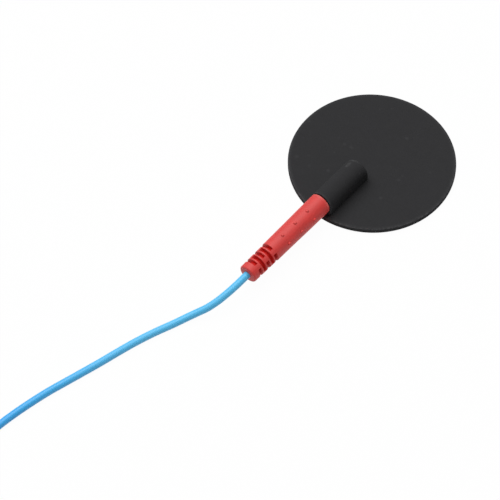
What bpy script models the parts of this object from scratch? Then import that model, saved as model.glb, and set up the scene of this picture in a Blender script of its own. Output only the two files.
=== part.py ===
"""Round conductive-rubber stimulation electrode with its pin plug and single-core lead.

The pad is a thin disc with a socket boss moulded in one with it. The lead's plug is a
soft moulded body around a crimped contact pin, with a slotted strain relief behind its
grip. The rest of the lead is wound into a flat coil, and its other end has a like plug.

Frame: origin at the centre of the pad's contact face, +Z up, the plug leaves along -Y.
Sizes are in millimetres, and one scaled empty carries the whole model to metres.
"""

import math

import bmesh
import bpy
from mathutils import Matrix, Vector

METRES_PER_MM = 0.001

# Clearance between pieces that touch or grip each other on the real product
CLEARANCE = 0.3

# Conductive rubber pad
PAD_DIAMETER = 50.0
PAD_THICKNESS = 1.8
PAD_EDGE_ROUND = 0.5

# Socket boss on the pad, round on top with straight sides down to the disc
BOSS_WIDTH = 6.8
BOSS_LENGTH = 17.5
BOSS_MOUTH_INSET = 1.85
BOSS_MOUTH_ROUND = 0.25

# Its inner end: the round of its upright corners, and how its top curves down to it
BOSS_END_ROUND = 0.9
BOSS_DOME_LENGTH = 3.2
BOSS_DOME_DROP = 3.4

# Fillet round its foot
BOSS_FILLET = 0.3
BOSS_FILLET_SINK = 0.035
SOCKET_LEAD_IN = 0.35

# Contact pin, turned from one piece with its crimp barrel
PIN_DIAMETER = 2.0
PIN_REACH = 13.5
PIN_TIP_LENGTH = 0.9
PIN_TIP_DIAMETER = 1.1
PIN_SHOULDER_DIAMETER = 1.8
SHANK_LENGTH = 4.0
FLANGE_DIAMETER = 3.2
FLANGE_LENGTH = 1.2
BARREL_DIAMETER = 2.7
BARREL_LENGTH = 7.0
BARREL_BORE_DEPTH = 5.4
BARREL_CHAMFER = 0.2

# Lead
LEAD_DIAMETER = 2.2
CONDUCTOR_DIAMETER = 0.8
CONDUCTOR_GRIP = 4.8
CONDUCTOR_BARE = 2.0

# Moulded plug body, measured back from its front face
PLUG_LENGTH = 32.3
PLUG_FRONT_DIAMETER = 6.64
PLUG_FRONT_ROUND = 0.3
PLUG_WAIST_DIAMETER = 6.4
PLUG_WAIST_AT = 13.0
PLUG_LAND_LENGTH = 0.9
GRIP_END_DIAMETER = 6.2
GRIP_END_ROUND = 0.15
GRIP_END_TURN = 30.0
RELIEF_DIAMETER = 6.05
COLLAR_DIAMETER = 5.8
COLLAR_END_ROUND = 0.5

# Middle of the grip's rounded taper, as shares of its length and of the narrowing left
TAPER_MIDDLE_AT = 0.55
TAPER_MIDDLE_LEFT = 0.83

# Strain relief, rings of two opposed slots that turn a quarter from ring to ring
SLOT_COUNT = 5
SLOT_PITCH = 1.63
SLOT_WIDTH = 0.95
SLOT_FLOOR_DIAMETER = 3.9
SLOT_WEB_WIDTH = 1.35
COLLAR_LENGTH = 2.3

# Grip nibs, in rows of three either side of the two mould lines
NIB_ROW_COUNT = 3
NIB_FIRST_AT = 6.5
NIB_PITCH = 5.4
NIB_BASE_DIAMETER = 0.95
NIB_TOP_DIAMETER = 0.6
NIB_HEIGHT = 0.3
NIB_ROOT = 0.5
NIB_ROW_ANGLE = 25.0

# Points closer than this are one point
MERGE_DISTANCE = 0.0001

# How far a cutter runs on past the face that it opens
CUTTER_OVERRUN = 1.0

# Edges that turn by more than this many degrees stay crisp
SHARP_ANGLE = 35.0

# How far each plug is rolled about its axis, from its mould line pointing up
PAD_PLUG_ROLL = 33.0
FAR_PLUG_ROLL = 90.0

# Facets round the turned pieces
PAD_FACETS = 96
BOSS_ARCH_STEPS = 24
FILLET_STEPS = 4
PLUG_FACETS = 32
PIN_FACETS = 24
NIB_FACETS = 10
COIL_FACETS = 60
EDGE_STEPS = 3
PAD_EDGE_STEPS = 4
BOSS_END_STEPS = 8
BOSS_CORNER_STEPS = 6
COLLAR_END_STEPS = 5
ROUTE_SPAN_STEPS = 24
TUBE_BEVEL_STEPS = 2

# Lead from the strain relief to the coil: x, the share of the run along -Y, and the
# height above the lying lead as a share of the height at which it leaves the plug
LEAD_RUN = 122.55
LEAD_ROUTE = [
    (0.0, 0.0175, 0.995),
    (-0.1, 0.0388, 0.95),
    (-0.5, 0.0665, 0.83),
    (-1.2, 0.0934, 0.65),
    (-2.3, 0.1179, 0.44),
    (-3.7, 0.1383, 0.25),
    (-5.0, 0.1587, 0.11),
    (-6.1, 0.1791, 0.03),
    (-7.1, 0.1995, 0.0),
    (-9.1, 0.2411, 0.0),
    (-10.9, 0.2852, 0.0),
    (-12.4, 0.3293, 0.0),
    (-13.8, 0.3741, 0.0),
    (-15.3, 0.4182, 0.0),
    (-16.8, 0.4614, 0.0),
    (-18.3, 0.5047, 0.0),
    (-19.5, 0.5488, 0.0),
    (-20.5, 0.5936, 0.0),
    (-21.2, 0.6385, 0.0),
    (-21.2, 0.6793, 0.0),
    (-20.4, 0.7193, 0.0),
    (-18.9, 0.7585, 0.0),
    (-17.0, 0.7968, 0.0),
]

# Coil of the spare lead, two layers that spiral in along the floor and out on top
COIL_CENTRE_X = -27.0
COIL_OUTER_TURN_RADIUS = 18.3
COIL_WHOLE_TURNS = 10
COIL_ENTRY_ANGLE = 21.0
COIL_EXIT_ANGLE = -180.0
COIL_EDGE_ROUND = 0.9
TAIL_STUB = 6.0

# Spacing of the tube's points along the lead
TUBE_STEP = 2.5 * LEAD_DIAMETER

# Places worked out from the sizes above
LEAD_RADIUS = LEAD_DIAMETER / 2
AXIS_HEIGHT = PAD_THICKNESS + CLEARANCE + PLUG_FRONT_DIAMETER / 2
BOSS_MOUTH_Y = -(PAD_DIAMETER / 2 - BOSS_MOUTH_INSET)
BOSS_END_Y = BOSS_MOUTH_Y + BOSS_LENGTH
PLUG_FRONT_Y = BOSS_MOUTH_Y - CLEARANCE
COLLAR_Y = PLUG_FRONT_Y - PLUG_LENGTH
COIL_CENTRE_Y = COLLAR_Y - LEAD_RUN
BARREL_END = SHANK_LENGTH + FLANGE_LENGTH + BARREL_LENGTH
LEAD_START = BARREL_END + CONDUCTOR_BARE
SLOT_FIRST_AT = PLUG_LENGTH - COLLAR_LENGTH - SLOT_WIDTH / 2 - (SLOT_COUNT - 1) * SLOT_PITCH
GRIP_LENGTH = SLOT_FIRST_AT - SLOT_WIDTH / 2
COIL_SWEEP = COIL_WHOLE_TURNS + (COIL_ENTRY_ANGLE - COIL_EXIT_ANGLE) / 360
COIL_INNER_TURN_RADIUS = COIL_OUTER_TURN_RADIUS - LEAD_DIAMETER * COIL_SWEEP / 2
COIL_RADIUS = COIL_OUTER_TURN_RADIUS + LEAD_RADIUS
COIL_HEIGHT = 2 * LEAD_DIAMETER
TOP_TURN_HEIGHT = LEAD_RADIUS + LEAD_DIAMETER

# Pieces' colours and finishes
MATERIALS = {
    "pad_rubber": ((0.035, 0.035, 0.038), 0.75, 0.0),
    "plug_red": ((0.64, 0.05, 0.04), 0.5, 0.0),
    "lead_blue": ((0.12, 0.45, 0.82), 0.45, 0.0),
    "pin_nickel": ((0.72, 0.70, 0.66), 0.22, 1.0),
    "conductor_copper": ((0.80, 0.42, 0.26), 0.35, 1.0),
}


# Scene set-up


def clear_scene():
    for obj in list(bpy.data.objects):
        bpy.data.objects.remove(obj, do_unlink=True)


def new_collection(name):
    collection = bpy.data.collections.new(name)
    bpy.context.scene.collection.children.link(collection)
    return collection


def make_material(name):
    colour, roughness, metallic = MATERIALS[name]
    material = bpy.data.materials.new(name)
    material.use_nodes = True
    shader = material.node_tree.nodes["Principled BSDF"]
    shader.inputs["Base Color"].default_value = (*colour, 1.0)
    shader.inputs["Roughness"].default_value = roughness
    shader.inputs["Metallic"].default_value = metallic
    return material


# Modelling helpers


def make_bench(collection):
    """Empty that carries the model, drawn in millimetres, to its real size in metres."""
    bench = bpy.data.objects.new("bench", None)
    bench.scale = (METRES_PER_MM, METRES_PER_MM, METRES_PER_MM)
    collection.objects.link(bench)


def add_object(name, data, collection, parent=None):
    obj = bpy.data.objects.new(name, data)
    collection.objects.link(obj)
    obj.parent = parent or bpy.data.objects["bench"]
    return obj


def arc(centre, radius, start, end, steps):
    """Points of an arc in a profile plane, with angles in degrees from outwards to up."""
    points = []
    for step in range(steps + 1):
        angle = math.radians(start + (end - start) * step / steps)
        points.append((centre[0] + radius * math.cos(angle), centre[1] + radius * math.sin(angle)))
    return points


def turned(name, outline, facets, collection, closed=False):
    """Solid turned about Z from an outline of radius and height, run down its outer side."""
    mesh = bpy.data.meshes.new(name)
    profile = bmesh.new()
    corners = [profile.verts.new((radius, 0.0, height)) for radius, height in outline]
    for first, second in zip(corners, corners[1:]):
        profile.edges.new((first, second))
    if closed:
        profile.edges.new((corners[-1], corners[0]))
    profile.to_mesh(mesh)
    profile.free()
    obj = add_object(name, mesh, collection)
    screw = obj.modifiers.new("turn", "SCREW")
    screw.axis = "Z"
    screw.steps = facets
    screw.render_steps = facets
    screw.use_merge_vertices = True
    screw.merge_threshold = MERGE_DISTANCE
    return obj


def hide_as_cutter(obj):
    obj.hide_render = True
    obj.display_type = "WIRE"


def boolean(obj, operand, operation):
    modifier = obj.modifiers.new(operation.lower() + "_" + operand.name, "BOOLEAN")
    modifier.operation = operation
    modifier.solver = "EXACT"
    modifier.object = operand
    hide_as_cutter(operand)


def worked_mesh(obj, name):
    """The object's mesh with its modifiers worked in, for more than one piece to share."""
    bpy.context.view_layer.update()
    depsgraph = bpy.context.evaluated_depsgraph_get()
    mesh = bpy.data.meshes.new_from_object(obj.evaluated_get(depsgraph))
    mesh.name = name
    return mesh


def smooth(mesh):
    mesh.shade_smooth()
    mesh.set_sharp_from_angle(angle=math.radians(SHARP_ANGLE))


def finished(blank, name):
    """Smooth mesh of a worked blank, which is kept with the cutters."""
    hide_as_cutter(blank)
    mesh = worked_mesh(blank, name)
    smooth(mesh)
    return mesh


def box(name, size, collection):
    mesh = bpy.data.meshes.new(name)
    cube = bmesh.new()
    bmesh.ops.create_cube(cube, size=1.0, matrix=Matrix.Diagonal((*size, 1.0)))
    cube.to_mesh(mesh)
    cube.free()
    return add_object(name, mesh, collection)


def skinned(name, sections, collection):
    """Solid skinned over a row of like sections, each a closed loop of points."""
    mesh = bpy.data.meshes.new(name)
    solid = bmesh.new()
    rings = [[solid.verts.new(point) for point in section] for section in sections]
    solid.faces.new(rings[0])
    solid.faces.new(rings[-1])
    for near, far in zip(rings, rings[1:]):
        for index in range(len(near)):
            after = (index + 1) % len(near)
            solid.faces.new((near[index], near[after], far[after], far[index]))
    bmesh.ops.recalc_face_normals(solid, faces=solid.faces)
    solid.to_mesh(mesh)
    solid.free()
    return add_object(name, mesh, collection)


# Rubber pad


def pad_disc(collection):
    radius = PAD_DIAMETER / 2
    inner = radius - PAD_EDGE_ROUND
    outline = [(0.0, PAD_THICKNESS)]
    upper = PAD_THICKNESS - PAD_EDGE_ROUND
    outline += arc((inner, upper), PAD_EDGE_ROUND, 90, 0, PAD_EDGE_STEPS)
    outline += arc((inner, PAD_EDGE_ROUND), PAD_EDGE_ROUND, 0, -90, PAD_EDGE_STEPS)
    outline += [(0.0, 0.0)]
    return turned("pad_disc", outline, PAD_FACETS, collection)


def boss_section(y, inset, drop=0.0):
    """Arch-shaped section of the boss, from inside the disc up over its round top."""
    half_width = BOSS_WIDTH / 2 - inset
    root = PAD_THICKNESS / 2
    section = [(half_width, y, root)]
    for x, z in arc((0.0, AXIS_HEIGHT - drop), half_width, 0, 180, BOSS_ARCH_STEPS):
        section.append((x, y, z))
    section.append((-half_width, y, root))
    return section


def rounding(distance, reach, depth):
    """How far a face has curved in at a distance from the end of a rounding's reach."""
    share = max(0.0, 1 - distance / reach)
    return depth * (1 - math.sqrt(1 - share**2))


def boss_body(collection):
    """The boss's outside along Y, with a small round at its mouth and a dome inward."""
    sections = []
    mouth = (-BOSS_MOUTH_ROUND, 0.0)
    for inset, forward in arc(mouth, BOSS_MOUTH_ROUND, 90, 0, EDGE_STEPS):
        sections.append(boss_section(BOSS_MOUTH_Y + BOSS_MOUTH_ROUND - forward, -inset))
    for step in range(BOSS_END_STEPS + 1):
        left = BOSS_DOME_LENGTH * (1 - math.sin(math.radians(90) * step / BOSS_END_STEPS))
        inset = rounding(left, BOSS_END_ROUND, BOSS_END_ROUND)
        drop = rounding(left, BOSS_DOME_LENGTH, BOSS_DOME_DROP)
        sections.append(boss_section(BOSS_END_Y - left, inset, drop))
    return skinned("boss_body", sections, collection)


def fillet_outline(flare, height):
    """Outline round the boss's three closed sides, a flare away from them."""
    half_width = BOSS_WIDTH / 2 + flare
    corner = BOSS_END_ROUND + flare
    across = half_width - corner
    inner_y = BOSS_END_Y + flare - corner
    mouth_y = BOSS_MOUTH_Y + BOSS_MOUTH_ROUND
    outline = [(-half_width, mouth_y, height), (half_width, mouth_y, height)]
    corners = arc((across, inner_y), corner, 0, 90, BOSS_CORNER_STEPS)
    corners += arc((-across, inner_y), corner, 90, 180, BOSS_CORNER_STEPS)
    for x, y in corners:
        outline.append((x, y, height))
    return outline


def boss_fillet(collection):
    """Hollow fillet between the boss's sides and the disc, sunk a hair into the sides."""
    levels = [fillet_outline(BOSS_FILLET, PAD_THICKNESS / 2)]
    for step in range(FILLET_STEPS + 1):
        turn = math.radians(90) * step / FILLET_STEPS
        flare = (BOSS_FILLET + BOSS_FILLET_SINK) * (1 - math.sin(turn)) - BOSS_FILLET_SINK
        rise = BOSS_FILLET * (1 - math.cos(turn))
        levels.append(fillet_outline(flare, PAD_THICKNESS + rise))
    return skinned("boss_fillet", levels, collection)


def socket_bore(collection):
    """Blind bore for the contact pin, with a small lead-in at its mouth."""
    radius = PIN_DIAMETER / 2 + CLEARANCE
    blind_end = PIN_REACH + CLEARANCE
    outside = -CLEARANCE - CUTTER_OVERRUN
    outline = [(0.0, blind_end)]
    outline += arc((radius / 2, blind_end - radius / 2), radius / 2, 90, 0, EDGE_STEPS)
    outline += [
        (radius, SOCKET_LEAD_IN - CLEARANCE),
        (radius + SOCKET_LEAD_IN, -CLEARANCE),
        (radius + SOCKET_LEAD_IN, outside),
        (0.0, outside),
    ]
    bore = turned("socket_bore", outline, PIN_FACETS, collection)
    bore.location = (0.0, PLUG_FRONT_Y + 2 * CLEARANCE, AXIS_HEIGHT)
    bore.rotation_euler = (math.radians(-90), 0.0, 0.0)
    return bore


def pad_mesh(cutters):
    """Disc and boss in one, with the socket's bore."""
    blank = pad_disc(cutters)
    boolean(blank, boss_fillet(cutters), "UNION")
    boolean(blank, boss_body(cutters), "UNION")
    boolean(blank, socket_bore(cutters), "DIFFERENCE")
    return finished(blank, "electrode_pad")


# Plug, built along Z with its front face at zero, its pin upwards and its lead below


def cavity_outline():
    """Inside of the plug body from its lead end up to its front face."""
    shank = PIN_DIAMETER / 2 + CLEARANCE
    flange = FLANGE_DIAMETER / 2 + CLEARANCE
    barrel = BARREL_DIAMETER / 2 + CLEARANCE
    lead = LEAD_RADIUS + CLEARANCE
    flange_top = -(SHANK_LENGTH - CLEARANCE)
    flange_foot = -(SHANK_LENGTH + FLANGE_LENGTH + CLEARANCE)
    barrel_foot = -(BARREL_END + CLEARANCE)
    return [
        (lead, -PLUG_LENGTH),
        (lead, barrel_foot),
        (barrel, barrel_foot + (barrel - lead)),
        (barrel, flange_foot),
        (flange, flange_foot),
        (flange, flange_top),
        (shank, flange_top),
        (shank, 0.0),
    ]


def body_outline():
    """Closed half section of the plug body, down its outside and back up its cavity."""
    front = PLUG_FRONT_DIAMETER / 2
    waist = PLUG_WAIST_DIAMETER / 2
    grip_end = GRIP_END_DIAMETER / 2
    collar = COLLAR_DIAMETER / 2
    front_corner = (front - PLUG_FRONT_ROUND, -PLUG_FRONT_ROUND)
    outline = arc(front_corner, PLUG_FRONT_ROUND, 90, 0, EDGE_STEPS)
    outline.append((front, -PLUG_LAND_LENGTH))
    middle = waist + (front - waist) * TAPER_MIDDLE_LEFT
    outline.append((middle, -PLUG_WAIST_AT * TAPER_MIDDLE_AT))
    outline.append((waist, -PLUG_WAIST_AT))
    grip_corner = (grip_end - GRIP_END_ROUND, GRIP_END_ROUND - GRIP_LENGTH)
    outline += arc(grip_corner, GRIP_END_ROUND, 0, -GRIP_END_TURN, EDGE_STEPS)
    outline.append((RELIEF_DIAMETER / 2, -GRIP_LENGTH - SLOT_WIDTH / 2))
    end_centre = (collar - COLLAR_END_ROUND, COLLAR_END_ROUND - PLUG_LENGTH)
    outline += arc(end_centre, COLLAR_END_ROUND, 0, -90, COLLAR_END_STEPS)
    return outline + cavity_outline()


def slot_ring(index, collection):
    """Cutter for one ring of the strain relief: an annulus parted by the two webs."""
    middle = -(SLOT_FIRST_AT + index * SLOT_PITCH)
    top = middle + SLOT_WIDTH / 2
    bottom = middle - SLOT_WIDTH / 2
    floor = SLOT_FLOOR_DIAMETER / 2
    outside = GRIP_END_DIAMETER
    outline = [(floor, top), (outside, top), (outside, bottom), (floor, bottom)]
    ring = turned(f"slot_ring_{index + 1}", outline, PLUG_FACETS, collection, closed=True)
    web = box(f"slot_web_{index + 1}", (4 * outside, SLOT_WEB_WIDTH, 2 * SLOT_WIDTH), collection)
    web.location.z = middle
    web.rotation_euler.z = math.radians(90 * (index % 2))
    boolean(ring, web, "DIFFERENCE")
    return ring


def body_radius_at(distance):
    """Outer radius of the grip at a distance behind the front face, for seating a nib."""
    grip = []
    for radius, height in body_outline():
        if height >= -GRIP_LENGTH and radius > LEAD_DIAMETER:
            grip.append((radius, height))
    for upper, lower in zip(grip, grip[1:]):
        if lower[1] <= -distance <= upper[1] and upper[1] > lower[1]:
            share = (upper[1] + distance) / (upper[1] - lower[1])
            return upper[0] + (lower[0] - upper[0]) * share
    return GRIP_END_DIAMETER / 2


def grip_nibs(collection):
    """All nibs as one operand: small round stubs that taper towards their tops."""
    nibs = bmesh.new()
    for side in (0.0, 180.0):
        for offset in (-NIB_ROW_ANGLE, NIB_ROW_ANGLE):
            for row in range(NIB_ROW_COUNT):
                distance = NIB_FIRST_AT + row * NIB_PITCH
                middle = body_radius_at(distance) + (NIB_HEIGHT - NIB_ROOT) / 2
                turn = Matrix.Rotation(math.radians(side + offset), 4, "Z")
                lay = Matrix.Rotation(math.radians(90), 4, "Y")
                place = Matrix.Translation((middle, 0.0, -distance))
                bmesh.ops.create_cone(
                    nibs,
                    cap_ends=True,
                    segments=NIB_FACETS,
                    radius1=NIB_BASE_DIAMETER / 2,
                    radius2=NIB_TOP_DIAMETER / 2,
                    depth=NIB_HEIGHT + NIB_ROOT,
                    matrix=turn @ place @ lay,
                )
    mesh = bpy.data.meshes.new("grip_nibs")
    nibs.to_mesh(mesh)
    nibs.free()
    return add_object("grip_nibs", mesh, collection)


def plug_body_mesh(cutters):
    blank = turned("plug_blank", body_outline(), PLUG_FACETS, cutters, closed=True)
    for index in range(SLOT_COUNT):
        boolean(blank, slot_ring(index, cutters), "DIFFERENCE")
    boolean(blank, grip_nibs(cutters), "UNION")
    return finished(blank, "plug_body")


def pin_mesh(cutters):
    """Contact pin with its retaining flange and hollow crimp barrel, one turned piece."""
    pin = PIN_DIAMETER / 2
    flange = FLANGE_DIAMETER / 2
    barrel = BARREL_DIAMETER / 2
    bore = CONDUCTOR_DIAMETER / 2 + CLEARANCE
    flange_foot = -(SHANK_LENGTH + FLANGE_LENGTH)
    outline = [
        (0.0, PIN_REACH),
        (PIN_TIP_DIAMETER / 2, PIN_REACH),
        (PIN_SHOULDER_DIAMETER / 2, PIN_REACH - PIN_TIP_LENGTH / 2),
        (pin, PIN_REACH - PIN_TIP_LENGTH),
        (pin, -SHANK_LENGTH),
        (flange, -SHANK_LENGTH),
        (flange, flange_foot),
        (barrel, flange_foot),
        (barrel, BARREL_CHAMFER - BARREL_END),
        (barrel - BARREL_CHAMFER, -BARREL_END),
        (bore, -BARREL_END),
        (bore, BARREL_BORE_DEPTH - BARREL_END),
        (0.0, BARREL_BORE_DEPTH - BARREL_END),
    ]
    return finished(turned("pin_turning", outline, PIN_FACETS, cutters), "contact_pin")


def conductor_mesh(cutters):
    """Bared end of the lead's core, from its cut insulation up into the crimp barrel."""
    radius = CONDUCTOR_DIAMETER / 2
    top = CONDUCTOR_GRIP - BARREL_END
    bottom = CLEARANCE - LEAD_START
    outline = [(0.0, top), (radius, top), (radius, bottom), (0.0, bottom)]
    return finished(turned("core_turning", outline, PIN_FACETS // 2, cutters), "conductor_end")


def plug_frame(name, front, heading, roll, collection):
    """Empty at a plug's front face: its Z runs out along the pin, its X up but for the roll."""
    along = Vector(heading).normalized()
    up = Vector((0.0, 0.0, 1.0))
    side = along.cross(up)
    axes = Matrix((up, side, along)).transposed().to_4x4()
    empty = add_object(name, None, collection)
    empty.empty_display_size = PLUG_FRONT_DIAMETER
    rolled = Matrix.Rotation(math.radians(roll), 4, "Z")
    empty.matrix_basis = Matrix.Translation(front) @ axes @ rolled
    return empty


# Lead


def coil_point(radius, angle, height):
    turn = math.radians(angle)
    x = COIL_CENTRE_X + radius * math.cos(turn)
    y = COIL_CENTRE_Y + radius * math.sin(turn)
    return Vector((x, y, height))


def coil_heading(angle):
    """Direction of the lead at an angle round the coil, which is wound clockwise."""
    turn = math.radians(angle)
    return Vector((math.sin(turn), -math.cos(turn), 0.0))


def coil_run():
    """Length of the straight run between the coil's solid and the lead's tangent point."""
    clear = COIL_RADIUS + LEAD_RADIUS + CLEARANCE
    return math.sqrt(clear**2 - COIL_OUTER_TURN_RADIUS**2)


def lead_points():
    """Route's points from inside the pad's plug to the edge of the coil."""
    points = [
        Vector((0.0, PLUG_FRONT_Y - LEAD_START, AXIS_HEIGHT)),
        Vector((0.0, PLUG_FRONT_Y - (LEAD_START + PLUG_LENGTH) / 2, AXIS_HEIGHT)),
        Vector((0.0, COLLAR_Y, AXIS_HEIGHT)),
    ]
    for x, run_share, rise_share in LEAD_ROUTE:
        height = LEAD_RADIUS + rise_share * (AXIS_HEIGHT - LEAD_RADIUS)
        points.append(Vector((x, COLLAR_Y - run_share * LEAD_RUN, height)))
    tangent = coil_point(COIL_OUTER_TURN_RADIUS, COIL_ENTRY_ANGLE, LEAD_RADIUS)
    points.append(tangent - coil_run() * coil_heading(COIL_ENTRY_ANGLE))
    return points


def tail_points():
    """Route's points from the coil's upper layer into the far plug."""
    heading = coil_heading(COIL_EXIT_ANGLE)
    start = coil_point(COIL_OUTER_TURN_RADIUS, COIL_EXIT_ANGLE, TOP_TURN_HEIGHT)
    start += coil_run() * heading
    collar = start + TAIL_STUB * heading
    collar.z = PLUG_FRONT_DIAMETER / 2
    cut_end = collar + (PLUG_LENGTH - LEAD_START) * heading
    return [start, (start + collar) / 2, collar, cut_end]


def far_plug_front():
    heading = coil_heading(COIL_EXIT_ANGLE)
    return tail_points()[-1] + LEAD_START * heading


def smooth_route(points, step):
    """Points a step apart on a smooth curve through the route's points."""
    padded = [2 * points[0] - points[1], *points, 2 * points[-1] - points[-2]]
    fine = []
    for before, first, second, after in zip(padded, padded[1:], padded[2:], padded[3:]):
        for index in range(ROUTE_SPAN_STEPS):
            t = index / ROUTE_SPAN_STEPS
            even = 2 * first + (second - before) * t
            even += (2 * before - 5 * first + 4 * second - after) * t**2
            even += (3 * first - 3 * second + after - before) * t**3
            fine.append(even / 2)
    fine.append(points[-1])
    travelled = [0.0]
    for first, second in zip(fine, fine[1:]):
        travelled.append(travelled[-1] + (second - first).length)
    count = max(2, round(travelled[-1] / step))
    spaced = []
    index = 0
    for number in range(count + 1):
        target = travelled[-1] * number / count
        while index < len(fine) - 2 and travelled[index + 1] < target:
            index += 1
        span = travelled[index + 1] - travelled[index]
        spaced.append(fine[index].lerp(fine[index + 1], (target - travelled[index]) / span))
    return spaced


def lead_tube(name, points, collection, material):
    curve = bpy.data.curves.new(name, "CURVE")
    curve.dimensions = "3D"
    curve.bevel_depth = LEAD_RADIUS
    curve.bevel_resolution = TUBE_BEVEL_STEPS
    curve.use_fill_caps = True
    spaced = smooth_route(points, TUBE_STEP)
    spline = curve.splines.new("POLY")
    spline.points.add(len(spaced) - 1)
    for target, place in zip(spline.points, spaced):
        target.co = (*place, 1.0)
    curve.materials.append(material)
    return add_object(name, curve, collection)


def coil_mesh(cutters):
    """Outer shape of the wound lead, a flat ring with rounded edges."""
    rounding = COIL_EDGE_ROUND
    outer = COIL_RADIUS - rounding
    inner = COIL_INNER_TURN_RADIUS - LEAD_RADIUS + rounding
    top = COIL_HEIGHT - rounding
    outline = arc((outer, top), rounding, 90, 0, EDGE_STEPS)
    outline += arc((outer, rounding), rounding, 0, -90, EDGE_STEPS)
    outline += arc((inner, rounding), rounding, -90, -180, EDGE_STEPS)
    outline += arc((inner, top), rounding, 180, 90, EDGE_STEPS)
    blank = turned("coil_ring", outline, COIL_FACETS, cutters, closed=True)
    return finished(blank, "lead_coil")


def main():
    clear_scene()
    parts = new_collection("tens_electrode_pad")
    cutters = new_collection("cutters")
    make_bench(parts)
    materials = {name: make_material(name) for name in MATERIALS}
    meshes = {
        "electrode_pad": (pad_mesh(cutters), "pad_rubber"),
        "plug_body": (plug_body_mesh(cutters), "plug_red"),
        "contact_pin": (pin_mesh(cutters), "pin_nickel"),
        "conductor_end": (conductor_mesh(cutters), "conductor_copper"),
        "lead_coil": (coil_mesh(cutters), "lead_blue"),
    }
    for mesh, finish in meshes.values():
        mesh.materials.clear()
        mesh.materials.append(materials[finish])
    add_object("electrode_pad", meshes["electrode_pad"][0], parts)
    pad_front = (0.0, PLUG_FRONT_Y, AXIS_HEIGHT)
    pad_plug = plug_frame("pad_plug_frame", pad_front, (0.0, 1.0, 0.0), PAD_PLUG_ROLL, parts)
    far_heading = coil_heading(COIL_EXIT_ANGLE)
    far_plug = plug_frame("far_plug_frame", far_plug_front(), far_heading, FAR_PLUG_ROLL, parts)
    for piece in ("plug_body", "contact_pin", "conductor_end"):
        add_object(piece, meshes[piece][0], parts, parent=pad_plug)
        add_object("far_" + piece, meshes[piece][0], parts, parent=far_plug)
    lead_tube("lead_wire", lead_points(), parts, materials["lead_blue"])
    coil = add_object("lead_coil", meshes["lead_coil"][0], parts)
    coil.location = (COIL_CENTRE_X, COIL_CENTRE_Y, 0.0)
    lead_tube("lead_tail", tail_points(), parts, materials["lead_blue"])


main()
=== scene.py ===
"""Dressed scene of a round stimulation electrode: rubber pad, pin plug and thin lead.

Laid out as an add-on and run as a script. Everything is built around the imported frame:
each piece stands for the CAD nodes that it replaces, in the same place and at the same
size. Shapes are worked out in millimetres and put into the meshes in metres.

Frame: origin at the centre of the pad's contact face, +Z up, the plug leaves along -Y.
"""

import math
from types import SimpleNamespace

import bmesh
import bpy
from bpy.props import FloatProperty, FloatVectorProperty, IntProperty, PointerProperty
from bpy.types import Operator, Panel, PropertyGroup
from mathutils import Matrix, Vector


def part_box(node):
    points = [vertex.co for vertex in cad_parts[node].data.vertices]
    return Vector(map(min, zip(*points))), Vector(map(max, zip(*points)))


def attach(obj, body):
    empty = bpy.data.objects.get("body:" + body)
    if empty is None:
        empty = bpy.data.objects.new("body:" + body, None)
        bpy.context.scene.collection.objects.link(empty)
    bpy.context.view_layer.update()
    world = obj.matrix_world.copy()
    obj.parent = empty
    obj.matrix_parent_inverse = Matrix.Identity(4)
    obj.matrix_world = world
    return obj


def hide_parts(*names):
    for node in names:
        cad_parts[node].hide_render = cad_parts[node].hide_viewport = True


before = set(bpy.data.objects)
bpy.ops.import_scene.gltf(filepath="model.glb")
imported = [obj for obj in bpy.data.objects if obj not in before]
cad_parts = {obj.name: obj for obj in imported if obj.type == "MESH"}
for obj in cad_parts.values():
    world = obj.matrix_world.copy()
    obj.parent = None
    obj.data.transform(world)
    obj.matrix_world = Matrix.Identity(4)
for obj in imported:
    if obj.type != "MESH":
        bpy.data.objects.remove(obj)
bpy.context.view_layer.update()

bl_info = {
    "name": "Stimulation Electrode Pad",
    "version": (1, 0, 0),
    "blender": (4, 5, 0),
    "location": "View3D > Sidebar > Electrode Pad",
    "description": "Builds a round rubber electrode pad with its plug, lead and stage",
    "category": "Object",
}

MM = 0.001
BODY = "root"
PAD_BOX = [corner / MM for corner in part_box("electrode_pad")]

# Sides round the turned pieces, and steps along their rounds
DISC_SIDES = 256
PLUG_SIDES = 144
PIN_SIDES = 72
LEAD_SIDES = 28
ROUND_STEPS = 8
DOME_STEPS = 28
GRIP_END_STEPS = 6
FLANGE_EDGE_STEPS = 3

# Distance within which points are merged, and radius under which one lies on the axis
MERGE_DISTANCE = 0.0005
ON_AXIS = 1e-6

# Faces that turn by more degrees than this meet in a crisp edge
SHARP_ANGLE = 40.0

# Camera, from the photograph: its place in millimetres, where it looks, its right side, and
# the nearest and furthest distances it shows in metres
CAMERA_PLACE = (176.554, -239.147, 408.042)
CAMERA_LOOK = (-0.37744, 0.39533, -0.83741)
CAMERA_RIGHT = (0.74996, 0.66098, -0.02598)
CAMERA_CLIP = (0.01, 20.0)


# Sizes and colours that a user would change, with lengths given in millimetres


def length(name, description, millimetres):
    return FloatProperty(
        name=name,
        description=description,
        default=millimetres * MM,
        min=0.0,
        precision=5,
        subtype="DISTANCE",
        unit="LENGTH",
    )


def turn(name, description, degrees):
    return FloatProperty(
        name=name,
        description=description,
        default=math.radians(degrees),
        subtype="ANGLE",
        unit="ROTATION",
    )


def number(name, description, default, low=0.0, high=1.0):
    return FloatProperty(
        name=name, description=description, default=default, min=low, max=high
    )


def colour(name, description, default):
    return FloatVectorProperty(
        name=name,
        description=description,
        default=default,
        size=3,
        min=0.0,
        max=1.0,
        subtype="COLOR",
    )


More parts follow.
